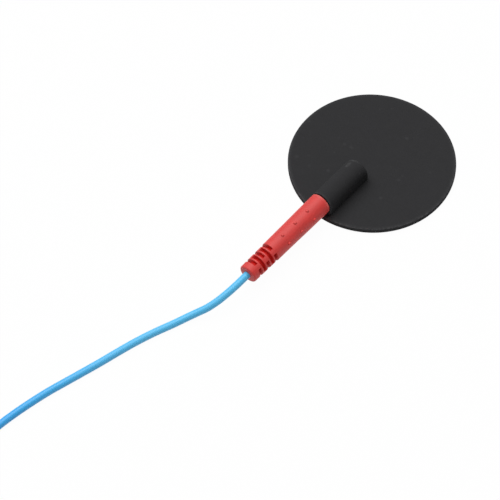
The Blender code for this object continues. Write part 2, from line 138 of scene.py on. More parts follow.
class ElectrodePadSizes(PropertyGroup):
    """Rubber disc and the socket boss moulded in one with it."""

    disc_diameter: length("Disc diameter", "Across the rubber disc", PAD_BOX[1].x - PAD_BOX[0].x)
    disc_thickness: length("Disc thickness", "Of the rubber disc", 1.8)
    disc_edge_round: length("Disc edge round", "Radius of the disc's rim edges", 0.5)
    rim_lift: length("Rim lift", "How far the limp rim rises off the floor in places", 0.22)
    boss_width: length("Boss width", "Across the socket boss", 6.8)
    boss_length: length("Boss length", "Of the socket boss along the pin", 17.5)
    mouth_inset: length("Mouth inset", "From the disc's rim to the socket's mouth", 1.85)
    mouth_round: length("Mouth round", "Radius of the edge round the mouth's face", 0.25)
    end_round: length("End round", "Radius of the upright corners of the boss's inner end", 0.9)
    dome_length: length("Dome length", "Of the curve from the boss's top to its inner end", 3.2)
    dome_drop: length("Dome drop", "How far that curve comes down", 3.4)
    fillet: length("Fillet", "Hollow between the boss and the disc", 0.3)
    clearance: length("Clearance", "Gap between pieces that touch", 0.3)
    socket_lead_in: length("Socket lead-in", "Width of the bore's lead-in", 0.35)


class ElectrodePlugSizes(PropertyGroup):
    """Soft moulded plug body with its nibs and slotted strain relief."""

    plug_length: length("Length", "Of the moulding", 32.3)
    front_diameter: length("Front diameter", "Across the moulding's front", 6.64)
    front_round: length("Front round", "Radius of the front edge", 0.3)
    land_length: length("Front land", "Where the taper starts behind the front", 0.9)
    waist_diameter: length("Waist diameter", "Across the middle of the grip", 6.4)
    waist_at: length("Waist place", "From the front to the waist", 13.0)
    taper_bend: number("Taper bend", "How full the taper to the waist is", 2.3, 1.0, 4.0)
    grip_end_diameter: length("Grip end diameter", "Across the grip's lead end", 6.2)
    grip_end_round: length("Grip end round", "Radius of the grip's rear edge", 0.15)
    relief_diameter: length("Relief diameter", "Across the start of the strain relief", 6.05)
    collar_diameter: length("Collar diameter", "Across the strain relief's end", 5.8)
    collar_end_round: length("Collar end round", "Radius of the collar's end", 0.5)
    collar_length: length("Collar length", "From the last slot's middle to the end", 2.775)
    slot_count: IntProperty(name="Slot rings", description="In the relief", default=5, min=1)
    slot_pitch: length("Slot pitch", "From ring to ring", 1.63)
    slot_width: length("Slot width", "Along the plug", 1.08)
    slot_floor: length("Slot floor", "Diameter left at the bottom of the slots", 3.5)
    web_width: length("Web width", "Of the bridges between rings", 1.75)
    slot_wall: length("Slot wall", "Softness of the slots' edges", 0.1)
    nib_rows: IntProperty(name="Nibs in a row", description="On the grip", default=3, min=1)
    nib_first_at: length("First nib", "From the front to the first nib", 6.5)
    nib_pitch: length("Nib pitch", "From nib to nib along the row", 5.4)
    nib_base: length("Nib base", "Across a nib's foot", 1.2)
    nib_top: length("Nib top", "Across a nib's top", 0.85)
    nib_height: length("Nib height", "Above the grip", 0.36)
    nib_root: length("Nib root", "Depth of a nib's foot in the grip", 0.3)
    nib_angle: turn("Nib angle", "From the mould line to a row", 30.5)
    mould_line: length("Mould line", "Height of the fine line left by the mould", 0.03)
    lip_gap: length("Lip gap", "Between the lead and the lip where it leaves", 0.03)
    lip_length: length("Lip length", "Of that lip along the plug", 0.8)
    pad_plug_roll: turn("Plug roll", "Turn of the pad's plug about its pin", 34.5)
    far_plug_roll: turn("Far plug roll", "Turn of the far plug about its pin", 90.0)


class ElectrodePinSizes(PropertyGroup):
    """Turned contact pin with its crimp barrel, and the bared core in it."""

    pin_diameter: length("Pin diameter", "Of the contact pin", 2.0)
    pin_reach: length("Pin reach", "Of the pin in front of the plug", 13.5)
    tip_length: length("Tip length", "Of the pin's rounded tip", 0.9)
    tip_diameter: length("Tip diameter", "Of the flat on the tip", 1.1)
    shank_length: length("Shank length", "From the plug's front to the flange", 4.0)
    flange_diameter: length("Flange diameter", "Of the retaining flange", 3.2)
    flange_length: length("Flange length", "Of the retaining flange", 1.2)
    barrel_diameter: length("Barrel diameter", "Of the crimp barrel", 2.7)
    barrel_length: length("Barrel length", "Of the crimp barrel", 7.0)
    barrel_bore_depth: length("Barrel bore depth", "For the core", 5.4)
    barrel_chamfer: length("Barrel chamfer", "At the barrel's mouth", 0.2)
    core_diameter: length("Core diameter", "Of the stranded core", 0.8)
    core_grip: length("Core grip", "Length of core inside the barrel", 4.8)
    core_bare: length("Bare core", "Length of core behind the barrel", 2.0)
    strand_lay: length("Strand lay", "Length of one turn of the strands", 7.0)


class ElectrodeLeadSizes(PropertyGroup):
    """Insulated lead, its run to the coil and the coil."""

    lead_diameter: length("Lead diameter", "Over the insulation", 2.2)
    real_length: length("Lead length", "From one plug to the other", 1000.0)
    run_length: length("Run", "From the plug's collar to the coil's centre, along Y", 122.55)
    coil_across: length("Coil offset", "From the plug's line to the coil's centre", 27.0)
    outer_turn_radius: length("Outer turn", "Radius of the coil's outer turn", 18.3)
    whole_turns: IntProperty(name="Turns", description="Whole turns", default=10, min=2)
    entry_angle: turn("Entry angle", "Where the lead joins the coil", 21.0)
    exit_angle: turn("Exit angle", "Where the lead leaves the coil", -180.0)
    tail_stub: length("Tail", "Lead between the coil and the far plug", 6.0)
    path_step: length("Path step", "Spacing of the points along the lead", 1.1)


class ElectrodeFinishes(PropertyGroup):
    """Colours of the pieces."""

    rubber: colour("Rubber", "Conductive rubber", (0.0385, 0.0385, 0.0402))
    plug: colour("Plug", "Moulded plug", (0.665, 0.023, 0.018))
    lead: colour("Lead", "Lead's insulation near the plug", (0.090, 0.585, 1.0))
    lead_deep: colour("Deeper lead", "Lead's insulation further on", (0.020, 0.415, 0.94))
    nickel: colour("Nickel", "Plated pin", (0.62, 0.585, 0.525))
    copper: colour("Copper", "Stranded core", (0.86, 0.42, 0.25))


class ElectrodeStage(PropertyGroup):
    """Camera, key lamp, sky and floor."""

    focal_length: FloatProperty(
        name="Focal length", description="Of the camera", default=121.449, unit="CAMERA"
    )
    key_level: number("Key level", "Light that the key lamp gives a level face", 0.98)
    sky_level: number("Sky level", "Light from all round", 0.15)
    floor_white: number("Floor", "Whiteness of the floor", 0.96)
    floor_clear: number("Clear floor", "Share of the floor shown as plain white", 0.975)


GROUPS = {
    "electrode_pad_sizes": ElectrodePadSizes,
    "electrode_plug_sizes": ElectrodePlugSizes,
    "electrode_pin_sizes": ElectrodePinSizes,
    "electrode_lead_sizes": ElectrodeLeadSizes,
    "electrode_finishes": ElectrodeFinishes,
    "electrode_stage": ElectrodeStage,
}


def read_sizes(scene):
    """All sizes as plain numbers, with lengths in millimetres, and the places they give."""
    found = {}
    for group_name in GROUPS:
        group = getattr(scene, group_name)
        for prop in group.bl_rna.properties:
            if prop.identifier in ("rna_type", "name") or prop.type not in ("FLOAT", "INT"):
                continue
            value = getattr(group, prop.identifier)
            if prop.unit == "LENGTH":
                value = round(value / MM, 5)
            found[prop.identifier] = value
    s = SimpleNamespace(**found)
    s.lead_radius = s.lead_diameter / 2
    s.axis_height = s.disc_thickness + s.clearance + s.front_diameter / 2
    s.mouth_y = s.mouth_inset - s.disc_diameter / 2
    s.boss_end_y = s.mouth_y + s.boss_length
    s.plug_front_y = s.mouth_y - s.clearance
    s.collar_y = s.plug_front_y - s.plug_length
    s.barrel_end = s.shank_length + s.flange_length + s.barrel_length
    s.lead_start = s.barrel_end + s.core_bare
    last_slot_at = s.plug_length - s.collar_length
    s.slot_first_at = last_slot_at - (s.slot_count - 1) * s.slot_pitch
    s.grip_length = s.slot_first_at - s.slot_width / 2
    s.end_face_radius = s.collar_diameter / 2 - s.collar_end_round
    s.cavity_radius = (s.flange_diameter / 2 + s.clearance + s.end_face_radius) / 2
    s.coil_centre = Vector((-s.coil_across, s.collar_y - s.run_length, 0.0))
    s.coil_turns = s.whole_turns + (s.entry_angle - s.exit_angle) / math.tau
    s.coil_radius = s.outer_turn_radius + s.lead_radius
    s.top_turn_height = s.lead_radius + s.lead_diameter
    return s


# Mesh helpers


def arc(centre, radius, start, end, steps=ROUND_STEPS):
    """Points of an arc in a profile plane, with angles in degrees from outwards to up."""
    points = []
    for step in range(steps + 1):
        angle = math.radians(start + (end - start) * step / steps)
        out, up = radius * math.cos(angle), radius * math.sin(angle)
        points.append((centre[0] + out, centre[1] + up))
    return points


def blend(low, high, value):
    """0 below low, 1 above high and a soft step between them."""
    share = min(1.0, max(0.0, (value - low) / (high - low)))
    return share * share * (3 - 2 * share)


def mesh_from(work, name):
    """Mesh from a bmesh with doubles merged and faces pointing out."""
    bmesh.ops.remove_doubles(work, verts=work.verts, dist=MERGE_DISTANCE)
    bmesh.ops.recalc_face_normals(work, faces=work.faces)
    mesh = bpy.data.meshes.new(name)
    work.to_mesh(mesh)
    work.free()
    return mesh


def lathe(name, outline, sides, closed=False):
    """Mesh turned about Z from an outline of radius and height."""
    work = bmesh.new()
    rings = []
    for radius, height in outline:
        if radius < ON_AXIS:
            rings.append([work.verts.new((0.0, 0.0, height))] * sides)
            continue
        ring = []
        for side in range(sides):
            angle = math.tau * side / sides
            x, y = radius * math.cos(angle), radius * math.sin(angle)
            ring.append(work.verts.new((x, y, height)))
        rings.append(ring)
    pairs = list(zip(rings, rings[1:]))
    if closed:
        pairs.append((rings[-1], rings[0]))
    for upper, lower in pairs:
        for side in range(sides):
            after = (side + 1) % sides
            corners = []
            for corner in (upper[side], upper[after], lower[after], lower[side]):
                if corner not in corners:
                    corners.append(corner)
            if len(corners) > 2:
                work.faces.new(corners)
    return mesh_from(work, name)


def skinned(name, sections):
    """Mesh skinned over a row of like sections, each a closed loop of points."""
    work = bmesh.new()
    rings = [[work.verts.new(point) for point in section] for section in sections]
    work.faces.new(rings[0])
    work.faces.new(rings[-1])
    for near, far in zip(rings, rings[1:]):
        for index in range(len(near)):
            after = (index + 1) % len(near)
            work.faces.new((near[index], near[after], far[after], far[index]))
    return mesh_from(work, name)


def loose(name, data):
    """Object for working on, taken away again by worked()."""
    obj = bpy.data.objects.new(name, data)
    bpy.context.scene.collection.objects.link(obj)
    return obj


def worked(obj, *helpers):
    """The object's mesh with its modifiers worked in. It and its helpers are removed."""
    bpy.context.view_layer.update()
    evaluated = obj.evaluated_get(bpy.context.evaluated_depsgraph_get())
    mesh = bpy.data.meshes.new_from_object(evaluated)
    for each in (obj, *helpers):
        bpy.data.objects.remove(each, do_unlink=True)
    if not mesh.polygons:
        raise RuntimeError("a working object came out with no faces")
    return mesh


def boolean(obj, operand, operation):
    """Boolean modifier on a working object."""
    modifier = obj.modifiers.new(operand.name, "BOOLEAN")
    modifier.operation = operation
    modifier.solver = "EXACT"
    modifier.object = operand


def smooth(mesh):
    """Smooth shading with crisp edges where the faces turn sharply."""
    mesh.shade_smooth()
    mesh.set_sharp_from_angle(angle=math.radians(SHARP_ANGLE))


def place_piece(name, mesh, replaced, material=None):
    """Puts a finished mesh, in metres, on the frame's body in place of its CAD nodes."""
    if material is not None:
        mesh.materials.clear()
        mesh.materials.append(material)
    mesh.name = name
    piece = bpy.data.objects.new(name, mesh)
    bpy.context.scene.collection.objects.link(piece)
    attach(piece, BODY)
    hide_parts(*replaced)


def place_at_plugs(s, name, mesh, node, material=None, foot=0.0):
    """Puts a copy of a mesh, in a plug's own millimetres, at each of the two plugs."""
    for prefix, place in plug_places(s).items():
        own = mesh.copy()
        own.transform(place @ Matrix.Translation((0.0, 0.0, foot)))
        smooth(own)
        place_piece(prefix + name, own, [prefix + node], material)


# Node trees


def new_node(tree, kind, inputs=None, **settings):
    """Node with its settings, and its inputs as values or as sockets to link from."""
    made = tree.nodes.new(kind)
    for key, value in settings.items():
        setattr(made, key, value)
    for key, value in (inputs or {}).items():
        if isinstance(value, bpy.types.NodeSocket):
            tree.links.new(value, made.inputs[key])
        else:
            made.inputs[key].default_value = value
    return made


def output_of(tree, kind, inputs=None, **settings):
    """First output of a new node."""
    return new_node(tree, kind, inputs, **settings).outputs[0]


def maths(tree, operation, *values):
    """Output of a Math node on values or sockets."""
    return output_of(tree, "ShaderNodeMath", dict(enumerate(values)), operation=operation)


def step_between(tree, value, low, high, first=0.0, last=1.0):
    """Soft step of a value from first at low to last at high."""
    inputs = {"Value": value, "From Min": low, "From Max": high, "To Min": first, "To Max": last}
    return output_of(tree, "ShaderNodeMapRange", inputs, interpolation_type="SMOOTHSTEP")


def new_tree(name, kind, inputs, outputs):
    """Node tree with named sockets, and its input and output nodes."""
    tree = bpy.data.node_groups.new(name, kind)
    for label, socket_kind, *default in inputs:
        socket = tree.interface.new_socket(label, in_out="INPUT", socket_type=socket_kind)
        if default:
            socket.default_value = default[0]
    for label, socket_kind in outputs:
        tree.interface.new_socket(label, in_out="OUTPUT", socket_type=socket_kind)
    source, target = tree.nodes.new("NodeGroupInput"), tree.nodes.new("NodeGroupOutput")
    return tree, source.outputs, target.inputs


def run_tree(obj, tree, values):
    """The object's mesh with the tree worked in, its inputs set by identifier."""
    modifier = obj.modifiers.new(tree.name, "NODES")
    modifier.node_group = tree
    for item in tree.interface.items_tree:
        if item.in_out == "INPUT" and item.name in values:
            modifier[item.identifier] = values[item.name]
    return worked(obj)


# Geometry trees of the plug, the lead and the strands

FLOAT = "NodeSocketFloat"
GEOMETRY = "NodeSocketGeometry"
MATERIAL = "NodeSocketMaterial"
VECTOR = "NodeSocketVector"
WHOLE = "NodeSocketInt"

# Inputs of the plug's tree, each with the name of its size
PLUG_LENGTHS = (
    "Slot First At", "Slot Pitch", "Slot Width", "Slot Floor", "Web Width", "Slot Wall",
    "Nib First At", "Nib Pitch", "Nib Angle", "Nib Base", "Nib Top", "Nib Height", "Nib Root",
    "Mould Line", "Cavity Radius",
)
PLUG_COUNTS = ("Slot Count", "Nib Rows")

# How far the mould's line reaches to each side, and how far out the nibs' places are sought
MOULD_LINE_REACH = 0.18
NIB_SEARCH_RADIUS = 10.0

# Strands laid round the middle one, and the faces round each
LAID_STRANDS = 6
STRAND_SIDES = 12


def shape_tree(name, inputs):
    """Geometry tree with its sizes as named inputs, and its material."""
    inputs = [("Geometry", GEOMETRY), *inputs, ("Material", MATERIAL)]
    return new_tree(name, "GeometryNodeTree", inputs, [("Geometry", GEOMETRY)])


def finish_tree(tree, parts, source, target):
    """Ends a geometry tree: its parts made real, with smooth faces and their material."""
    joined = new_node(tree, "GeometryNodeJoinGeometry")
    for part in parts:
        tree.links.new(part, joined.inputs[0])
    real = output_of(tree, "GeometryNodeRealizeInstances", {"Geometry": joined.outputs[0]})
    soft = output_of(tree, "GeometryNodeSetShadeSmooth", {"Geometry": real})
    inputs = {"Geometry": soft, "Material": source["Material"]}
    tree.links.new(output_of(tree, "GeometryNodeSetMaterial", inputs), target["Geometry"])


def vector(tree, x=0.0, y=0.0, z=0.0):
    """Vector from its parts, each a value or a socket."""
    return output_of(tree, "ShaderNodeCombineXYZ", {0: x, 1: y, 2: z})


def kept_on_points(tree, geometry, name, value):
    """Geometry with a value kept on its points, for its material to read."""
    inputs = {"Geometry": geometry, "Name": name, "Value": value}
    kind = "GeometryNodeStoreNamedAttribute"
    return output_of(tree, kind, inputs, data_type="FLOAT", domain="POINT")


def tube(tree, curve, sides, radius):
    """Round tube along a curve, closed at its ends."""
    inputs = {"Resolution": sides, "Radius": radius}
    ring = output_of(tree, "GeometryNodeCurvePrimitiveCircle", inputs)
    inputs = {"Curve": curve, "Profile Curve": ring, "Fill Caps": True}
    return output_of(tree, "GeometryNodeCurveToMesh", inputs)


def set_on(tree, points, piece, rotation):
    """Copies of a piece on points, each turned by the rotation there."""
    inputs = {"Points": points, "Instance": piece, "Rotation": rotation}
    return output_of(tree, "GeometryNodeInstanceOnPoints", inputs)


def plug_tree():
    """Cuts the rings of slots into a turned plug blank and sets the nibs on its grip."""
    inputs = [(name, FLOAT) for name in PLUG_LENGTHS] + [(name, WHOLE) for name in PLUG_COUNTS]
    tree, source, target = shape_tree("plug_slots_and_nibs", inputs)

    def m(operation, *values):
        return maths(tree, operation, *values)

    def half(name):
        return m("MULTIPLY", source[name], 0.5)

    # Distance from the plug's axis, and from the middle of the nearest ring of slots
    position = output_of(tree, "GeometryNodeInputPosition")
    x, y, z = new_node(tree, "ShaderNodeSeparateXYZ", {0: position}).outputs
    radius = m("SQRT", m("ADD", m("MULTIPLY", x, x), m("MULTIPLY", y, y)))
    behind = m("SUBTRACT", m("MULTIPLY", z, -1.0), source["Slot First At"])
    nearest = m("ROUND", m("DIVIDE", behind, source["Slot Pitch"]))
    ring = m("MINIMUM", m("MAXIMUM", nearest, 0.0), m("SUBTRACT", source["Slot Count"], 1.0))
    away = m("ABSOLUTE", m("SUBTRACT", behind, m("MULTIPLY", ring, source["Slot Pitch"])))

    # Slots are open where a ring is near, outside the two webs that turn from ring to ring
    wall, half_slot, half_web = half("Slot Wall"), half("Slot Width"), half("Web Width")
    slot_low, slot_high = m("SUBTRACT", half_slot, wall), m("ADD", half_slot, wall)
    in_slot = step_between(tree, away, slot_low, slot_high, 1.0, 0.0)
    odd = m("MODULO", ring, 2.0)
    along_x = m("MULTIPLY", m("ABSOLUTE", y), m("SUBTRACT", 1.0, odd))
    across = m("ADD", along_x, m("MULTIPLY", m("ABSOLUTE", x), odd))
    web_low, web_high = m("SUBTRACT", half_web, wall), m("ADD", half_web, wall)
    off_web = step_between(tree, across, web_low, web_high)
    outside = m("GREATER_THAN", radius, source["Cavity Radius"])
    cut = m("MULTIPLY", m("MULTIPLY", in_slot, off_web), outside)
    sunk = m("MULTIPLY", m("SUBTRACT", half("Slot Floor"), radius), cut)

    # Fine line that the two halves of the mould leave on the outside
    line = step_between(tree, m("ABSOLUTE", y), 0.0, MOULD_LINE_REACH, 1.0, 0.0)
    line = m("MULTIPLY", m("MULTIPLY", line, source["Mould Line"]), outside)
    line = m("MULTIPLY", line, m("SUBTRACT", 1.0, cut))
    share = m("DIVIDE", m("ADD", m("ADD", radius, sunk), line), m("MAXIMUM", radius, 0.001))
    moved = vector(tree, m("MULTIPLY", x, share), m("MULTIPLY", y, share), z)
    marked = kept_on_points(tree, source["Geometry"], "slot", cut)
    inputs = {"Geometry": marked, "Position": moved}
    body = output_of(tree, "GeometryNodeSetPosition", inputs)

    # Nib places: rows either side of both mould lines, found on the grip by a ray inwards
    index = output_of(tree, "GeometryNodeInputIndex")
    row = m("MODULO", index, source["Nib Rows"])
    rank = m("FLOOR", m("DIVIDE", m("ADD", index, 0.5), source["Nib Rows"]))
    side = m("SUBTRACT", m("MULTIPLY", m("MODULO", rank, 2.0), 2.0), 1.0)
    half_turn = m("MULTIPLY", m("FLOOR", m("DIVIDE", m("ADD", rank, 0.5), 2.0)), math.pi)
    angle = m("ADD", m("MULTIPLY", side, source["Nib Angle"]), half_turn)
    down = m("ADD", source["Nib First At"], m("MULTIPLY", row, source["Nib Pitch"]))
    cosine, sine = m("COSINE", angle), m("SINE", angle)
    far_x, far_y = (m("MULTIPLY", part, NIB_SEARCH_RADIUS) for part in (cosine, sine))
    inwards = vector(tree, m("MULTIPLY", cosine, -1.0), m("MULTIPLY", sine, -1.0))
    inputs = {
        "Target Geometry": source["Geometry"],
        "Source Position": vector(tree, far_x, far_y, m("MULTIPLY", down, -1.0)),
        "Ray Direction": inwards,
        "Ray Length": 2 * NIB_SEARCH_RADIUS,
    }
    hit = new_node(tree, "GeometryNodeRaycast", inputs).outputs
    inputs = {"Count": m("MULTIPLY", source["Nib Rows"], 4.0), "Position": hit["Hit Position"]}
    points = output_of(tree, "GeometryNodePoints", inputs)
    kind = "FunctionNodeAlignRotationToVector"
    facing = output_of(tree, kind, {"Vector": hit["Hit Normal"]}, axis="Z")

    # One nib: a short tapered stub with soft edges, its foot sunk in the grip
    inputs = {
        "Vertices": 14,
        "Side Segments": 3,
        "Fill Segments": 2,
        "Radius Top": half("Nib Top"),
        "Radius Bottom": half("Nib Base"),
        "Depth": m("ADD", source["Nib Height"], source["Nib Root"]),
    }
    nib = new_node(tree, "GeometryNodeMeshCone", inputs).outputs["Mesh"]
    nib = output_of(tree, "GeometryNodeSubdivisionSurface", {"Mesh": nib, "Level": 2})
    foot = vector(tree, z=m("MULTIPLY", source["Nib Root"], -1.0))
    nib = output_of(tree, "GeometryNodeTransform", {"Geometry": nib, "Translation": foot})
    finish_tree(tree, [set_on(tree, points, nib, facing), body], source, target)
    return tree


def tube_tree():
    """Round tube along a curve, with the distance along it kept for its material."""
    tree, source, target = shape_tree("tube_on_path", [("Radius", FLOAT), ("Sides", WHOLE)])
    along = new_node(tree, "GeometryNodeSplineParameter").outputs["Length"]
    line = kept_on_points(tree, source["Geometry"], "along", along)
    lead = tube(tree, line, source["Sides"], source["Radius"])
    finish_tree(tree, [lead], source, target)
    return tree


def strand_tree():
    """Seven strands twisted together along Z: one straight, six laid round it."""
    inputs = [("Core Radius", FLOAT), ("Length", FLOAT), ("Lay", FLOAT)]
    tree, source, target = shape_tree("twisted_strands", inputs)
    strand = maths(tree, "DIVIDE", source["Core Radius"], 3.0)
    reach = maths(tree, "MULTIPLY", strand, 2.0)
    inputs = {
        "Resolution": 24,
        "Rotations": maths(tree, "DIVIDE", source["Length"], source["Lay"]),
        "Start Radius": reach,
        "End Radius": reach,
        "Height": source["Length"],
    }
    helix = output_of(tree, "GeometryNodeCurveSpiral", inputs)
    top = vector(tree, z=source["Length"])
    middle = output_of(tree, "GeometryNodeCurvePrimitiveLine", {"End": top})
    places = output_of(tree, "GeometryNodePoints", {"Count": LAID_STRANDS})
    index = output_of(tree, "GeometryNodeInputIndex")
    spin = vector(tree, z=maths(tree, "MULTIPLY", index, math.tau / LAID_STRANDS))
    laid = set_on(tree, places, tube(tree, helix, STRAND_SIDES, strand), spin)
    straight = tube(tree, middle, STRAND_SIDES, strand)
    finish_tree(tree, [laid, straight], source, target)
    return tree


# Shader effects that the materials share


def effect_tree(name, inputs, output):
    """Tree of an effect that takes coordinates and named values, and gives one value."""
    return new_tree(name, "ShaderNodeTree", [("Vector", VECTOR), *inputs], [(output, FLOAT)])


def noise_of(tree, source, detail):
    """Noise on an effect's coordinates, at its scale."""
    inputs = {"Vector": source["Vector"], "Scale": source["Scale"], "Detail": detail}
    return output_of(tree, "ShaderNodeTexNoise", inputs)


def mottle_group():
    """Soft uneven tone, from 0 to 1."""
    inputs = [("Scale", FLOAT, 200.0), ("Softness", FLOAT, 0.2)]
    tree, source, target = effect_tree("soft_mottle", inputs, "Tone")
    low = maths(tree, "SUBTRACT", 0.5, source["Softness"])
    high = maths(tree, "ADD", 0.5, source["Softness"])
    tone = step_between(tree, noise_of(tree, source, 5.0), low, high)
    tree.links.new(tone, target["Tone"])
    return tree


def grain_group():
    """Height of a fine moulded grain: small cells under finer noise."""
    inputs = [("Scale", FLOAT, 3000.0), ("Cells", FLOAT, 0.5)]
    tree, source, target = effect_tree("fine_grain", inputs, "Height")
    inputs = {"Vector": source["Vector"], "Scale": maths(tree, "MULTIPLY", source["Scale"], 0.6)}
    cells = new_node(tree, "ShaderNodeTexVoronoi", inputs).outputs["Distance"]
    cells = maths(tree, "MULTIPLY", cells, source["Cells"])
    height = maths(tree, "ADD", noise_of(tree, source, 3.0), cells)
    tree.links.new(height, target["Height"])
    return tree


def speck_group():
    """Mask of small pale specks, such as dust and bloom, on a share of scattered cells."""
    inputs = [("Scale", FLOAT, 500.0), ("Size", FLOAT, 0.12), ("Share", FLOAT, 0.1)]
    tree, source, target = effect_tree("pale_specks", inputs, "Mask")
    inputs = {"Vector": source["Vector"], "Scale": source["Scale"]}
    cells = new_node(tree, "ShaderNodeTexVoronoi", inputs).outputs
    picked = new_node(tree, "ShaderNodeSeparateColor", {0: cells["Color"]}).outputs
    size = maths(tree, "MULTIPLY", source["Size"], maths(tree, "ADD", picked[1], 0.4))
    dot = step_between(tree, cells["Distance"], 0.0, size, 1.0, 0.0)
    few = maths(tree, "LESS_THAN", picked[0], source["Share"])
    tree.links.new(maths(tree, "MULTIPLY", dot, few), target["Mask"])
    return tree


def edge_highlight_group():
    """Mask of a painted highlight along edges: a piece's edge attribute, broken up by noise."""
    inputs = [("Edge", FLOAT), ("Scale", FLOAT, 900.0), ("Strength", FLOAT, 0.6)]
    tree, source, target = effect_tree("rubbed_edges", inputs, "Mask")
    broken = step_between(tree, noise_of(tree, source, 4.0), 0.35, 0.65, 0.3, 1.0)
    painted_highlight = maths(tree, "MULTIPLY", source["Edge"], broken)
    painted_highlight = maths(tree, "MULTIPLY", painted_highlight, source["Strength"])
    tree.links.new(painted_highlight, target["Mask"])
    return tree


def dome_highlight_group():
    """Mask of one painted highlight spot: an oval round its centre, broken up by noise."""
    inputs = [("Centre", VECTOR), ("Reach", VECTOR), ("Scale", FLOAT, 1100.0)]
    tree, source, target = effect_tree("scuffed_place", inputs, "Mask")
    kind = "ShaderNodeVectorMath"
    inputs = {0: source["Vector"], 1: source["Centre"]}
    away = output_of(tree, kind, inputs, operation="SUBTRACT")
    share = output_of(tree, kind, {0: away, 1: source["Reach"]}, operation="DIVIDE")
    out = new_node(tree, kind, {0: share}, operation="LENGTH").outputs["Value"]
    near = step_between(tree, out, 0.5, 1.0, 1.0, 0.0)
    broken = step_between(tree, noise_of(tree, source, 4.0), 0.4, 0.6, 0.35, 1.0)
    tree.links.new(maths(tree, "MULTIPLY", near, broken), target["Mask"])
    return tree


EFFECTS = {
    "scuffed_place": dome_highlight_group,
    "soft_mottle": mottle_group,
    "fine_grain": grain_group,
    "pale_specks": speck_group,
    "rubbed_edges": edge_highlight_group,
}


def effect(tree, name, **inputs):
    """Places a shared effect in a material with its own values, and gives its output."""
    group = bpy.data.node_groups.get(name) or EFFECTS[name]()
    return output_of(tree, "ShaderNodeGroup", inputs, node_tree=group)


# Materials


def mixed(tree, share, first, second):
    """Colour between two colours or sockets."""
    inputs = {}
    for key, value in ((0, share), (6, first), (7, second)):
        inputs[key] = value if isinstance(value, (float, bpy.types.NodeSocket)) else (*value, 1.0)
    return new_node(tree, "ShaderNodeMix", inputs, data_type="RGBA").outputs[2]


def new_material(name, **settings):
    """Material with its Principled shader's constant values, its tree and coordinates."""
    material = bpy.data.materials.new(name)
    material.use_nodes = True
    tree = material.node_tree
    shader = tree.nodes["Principled BSDF"]
    for key, value in settings.items():
        shader.inputs[key.replace("_", " ")].default_value = value
    coordinates = tree.nodes.new("ShaderNodeTexCoord").outputs["Object"]
    return material, tree, shader, coordinates


def attribute(tree, name):
    """Value that a piece keeps on its points."""
    return new_node(tree, "ShaderNodeAttribute", attribute_name=name).outputs["Fac"]


def bump(tree, shader, height, distance, strength=1.0, under=None):
    """Fine relief on the shader's normal, from a height and its real depth in metres."""
    inputs = {"Height": height, "Distance": distance, "Strength": strength}
    if under is not None:
        inputs["Normal"] = under
    relief = output_of(tree, "ShaderNodeBump", inputs)
    tree.links.new(relief, shader.inputs["Normal"])
    return relief


def colour_and_roughness(tree, shader, base, tone, smoothest, roughest):
    """Gives the shader its colour, and a roughness that follows the tone."""
    tree.links.new(base, shader.inputs["Base Color"])
    rough = step_between(tree, tone, 0.0, 1.0, smoothest, roughest)
    tree.links.new(rough, shader.inputs["Roughness"])


def scaled(shade, factor):
    """Colour made darker or paler by a factor."""
    return tuple(min(1.0, part * factor) for part in shade)


# Painted highlight spots on the boss's dome: centre and reach in metres, and how strong they are
DOME_HIGHLIGHTS = [
    ((-0.0012, -0.0070, 0.0073), (0.0026, 0.0012, 0.0022)),
    ((-0.0013, -0.0097, 0.0086), (0.0008, 0.0014, 0.0010)),
]
DOME_HIGHLIGHT_STRENGTH = 0.42

# Colours of dust on each material, and of the painted highlight along the red plug's front edge
RUBBER_DUST = (0.36, 0.36, 0.37)
RED_DUST = (0.9, 0.62, 0.56)
RED_EDGE_HIGHLIGHT = (0.85, 0.30, 0.25)
LEAD_DUST = (0.75, 0.85, 0.92)

# Distances along the lead, in metres, over which its blue deepens
DEEPENS_FROM = 0.045
DEEPENS_TO = 0.115


def rubber_material(finish):
    """Matt conductive rubber: faint mottling, a painted highlight along the rim and the mouth,
    two painted highlight spots on the boss's dome and a little dust.
    """
    material, tree, shader, place = new_material("conductive_rubber", Specular_IOR_Level=0.01)
    dark = finish.rubber
    tone = effect(tree, "soft_mottle", Vector=place, Scale=420.0, Softness=0.3)
    fine = effect(tree, "soft_mottle", Vector=place, Scale=1500.0, Softness=0.2)
    base = mixed(tree, tone, scaled(dark, 0.97), scaled(dark, 1.05))
    base = mixed(tree, maths(tree, "MULTIPLY", fine, 0.2), base, scaled(dark, 1.25))
    # Painted highlight, mixed to a paler grey: a line along the rim's top edge and round the
    # mouth's edge, and two spots on the boss's dome
    edge = attribute(tree, "edge")
    painted_highlight = effect(tree, "rubbed_edges", Edge=edge, Vector=place, Scale=1300.0, Strength=0.62)
    # Two painted highlight spots on the dome's upper left shoulder, where light grazes it
    for centre, reach in DOME_HIGHLIGHTS:
        dome_highlight = effect(tree, "scuffed_place", Vector=place, Centre=centre, Reach=reach)
        dome_highlight = maths(tree, "MULTIPLY", dome_highlight, DOME_HIGHLIGHT_STRENGTH)
        painted_highlight = maths(tree, "MAXIMUM", painted_highlight, dome_highlight)
    base = mixed(tree, painted_highlight, base, scaled(dark, 2.8))
    dust = effect(tree, "pale_specks", Vector=place, Scale=380.0, Size=0.3, Share=0.2)
    base = mixed(tree, maths(tree, "MULTIPLY", dust, 0.035), base, RUBBER_DUST)
    colour_and_roughness(tree, shader, base, tone, 0.66, 0.78)
    grain = effect(tree, "fine_grain", Vector=place, Scale=3200.0, Cells=0.4)
    first = bump(tree, shader, grain, 0.00004, 0.5)
    waves = effect(tree, "soft_mottle", Vector=place, Scale=130.0, Softness=0.5)
    bump(tree, shader, waves, 0.0003, 0.12, under=first)
    return material


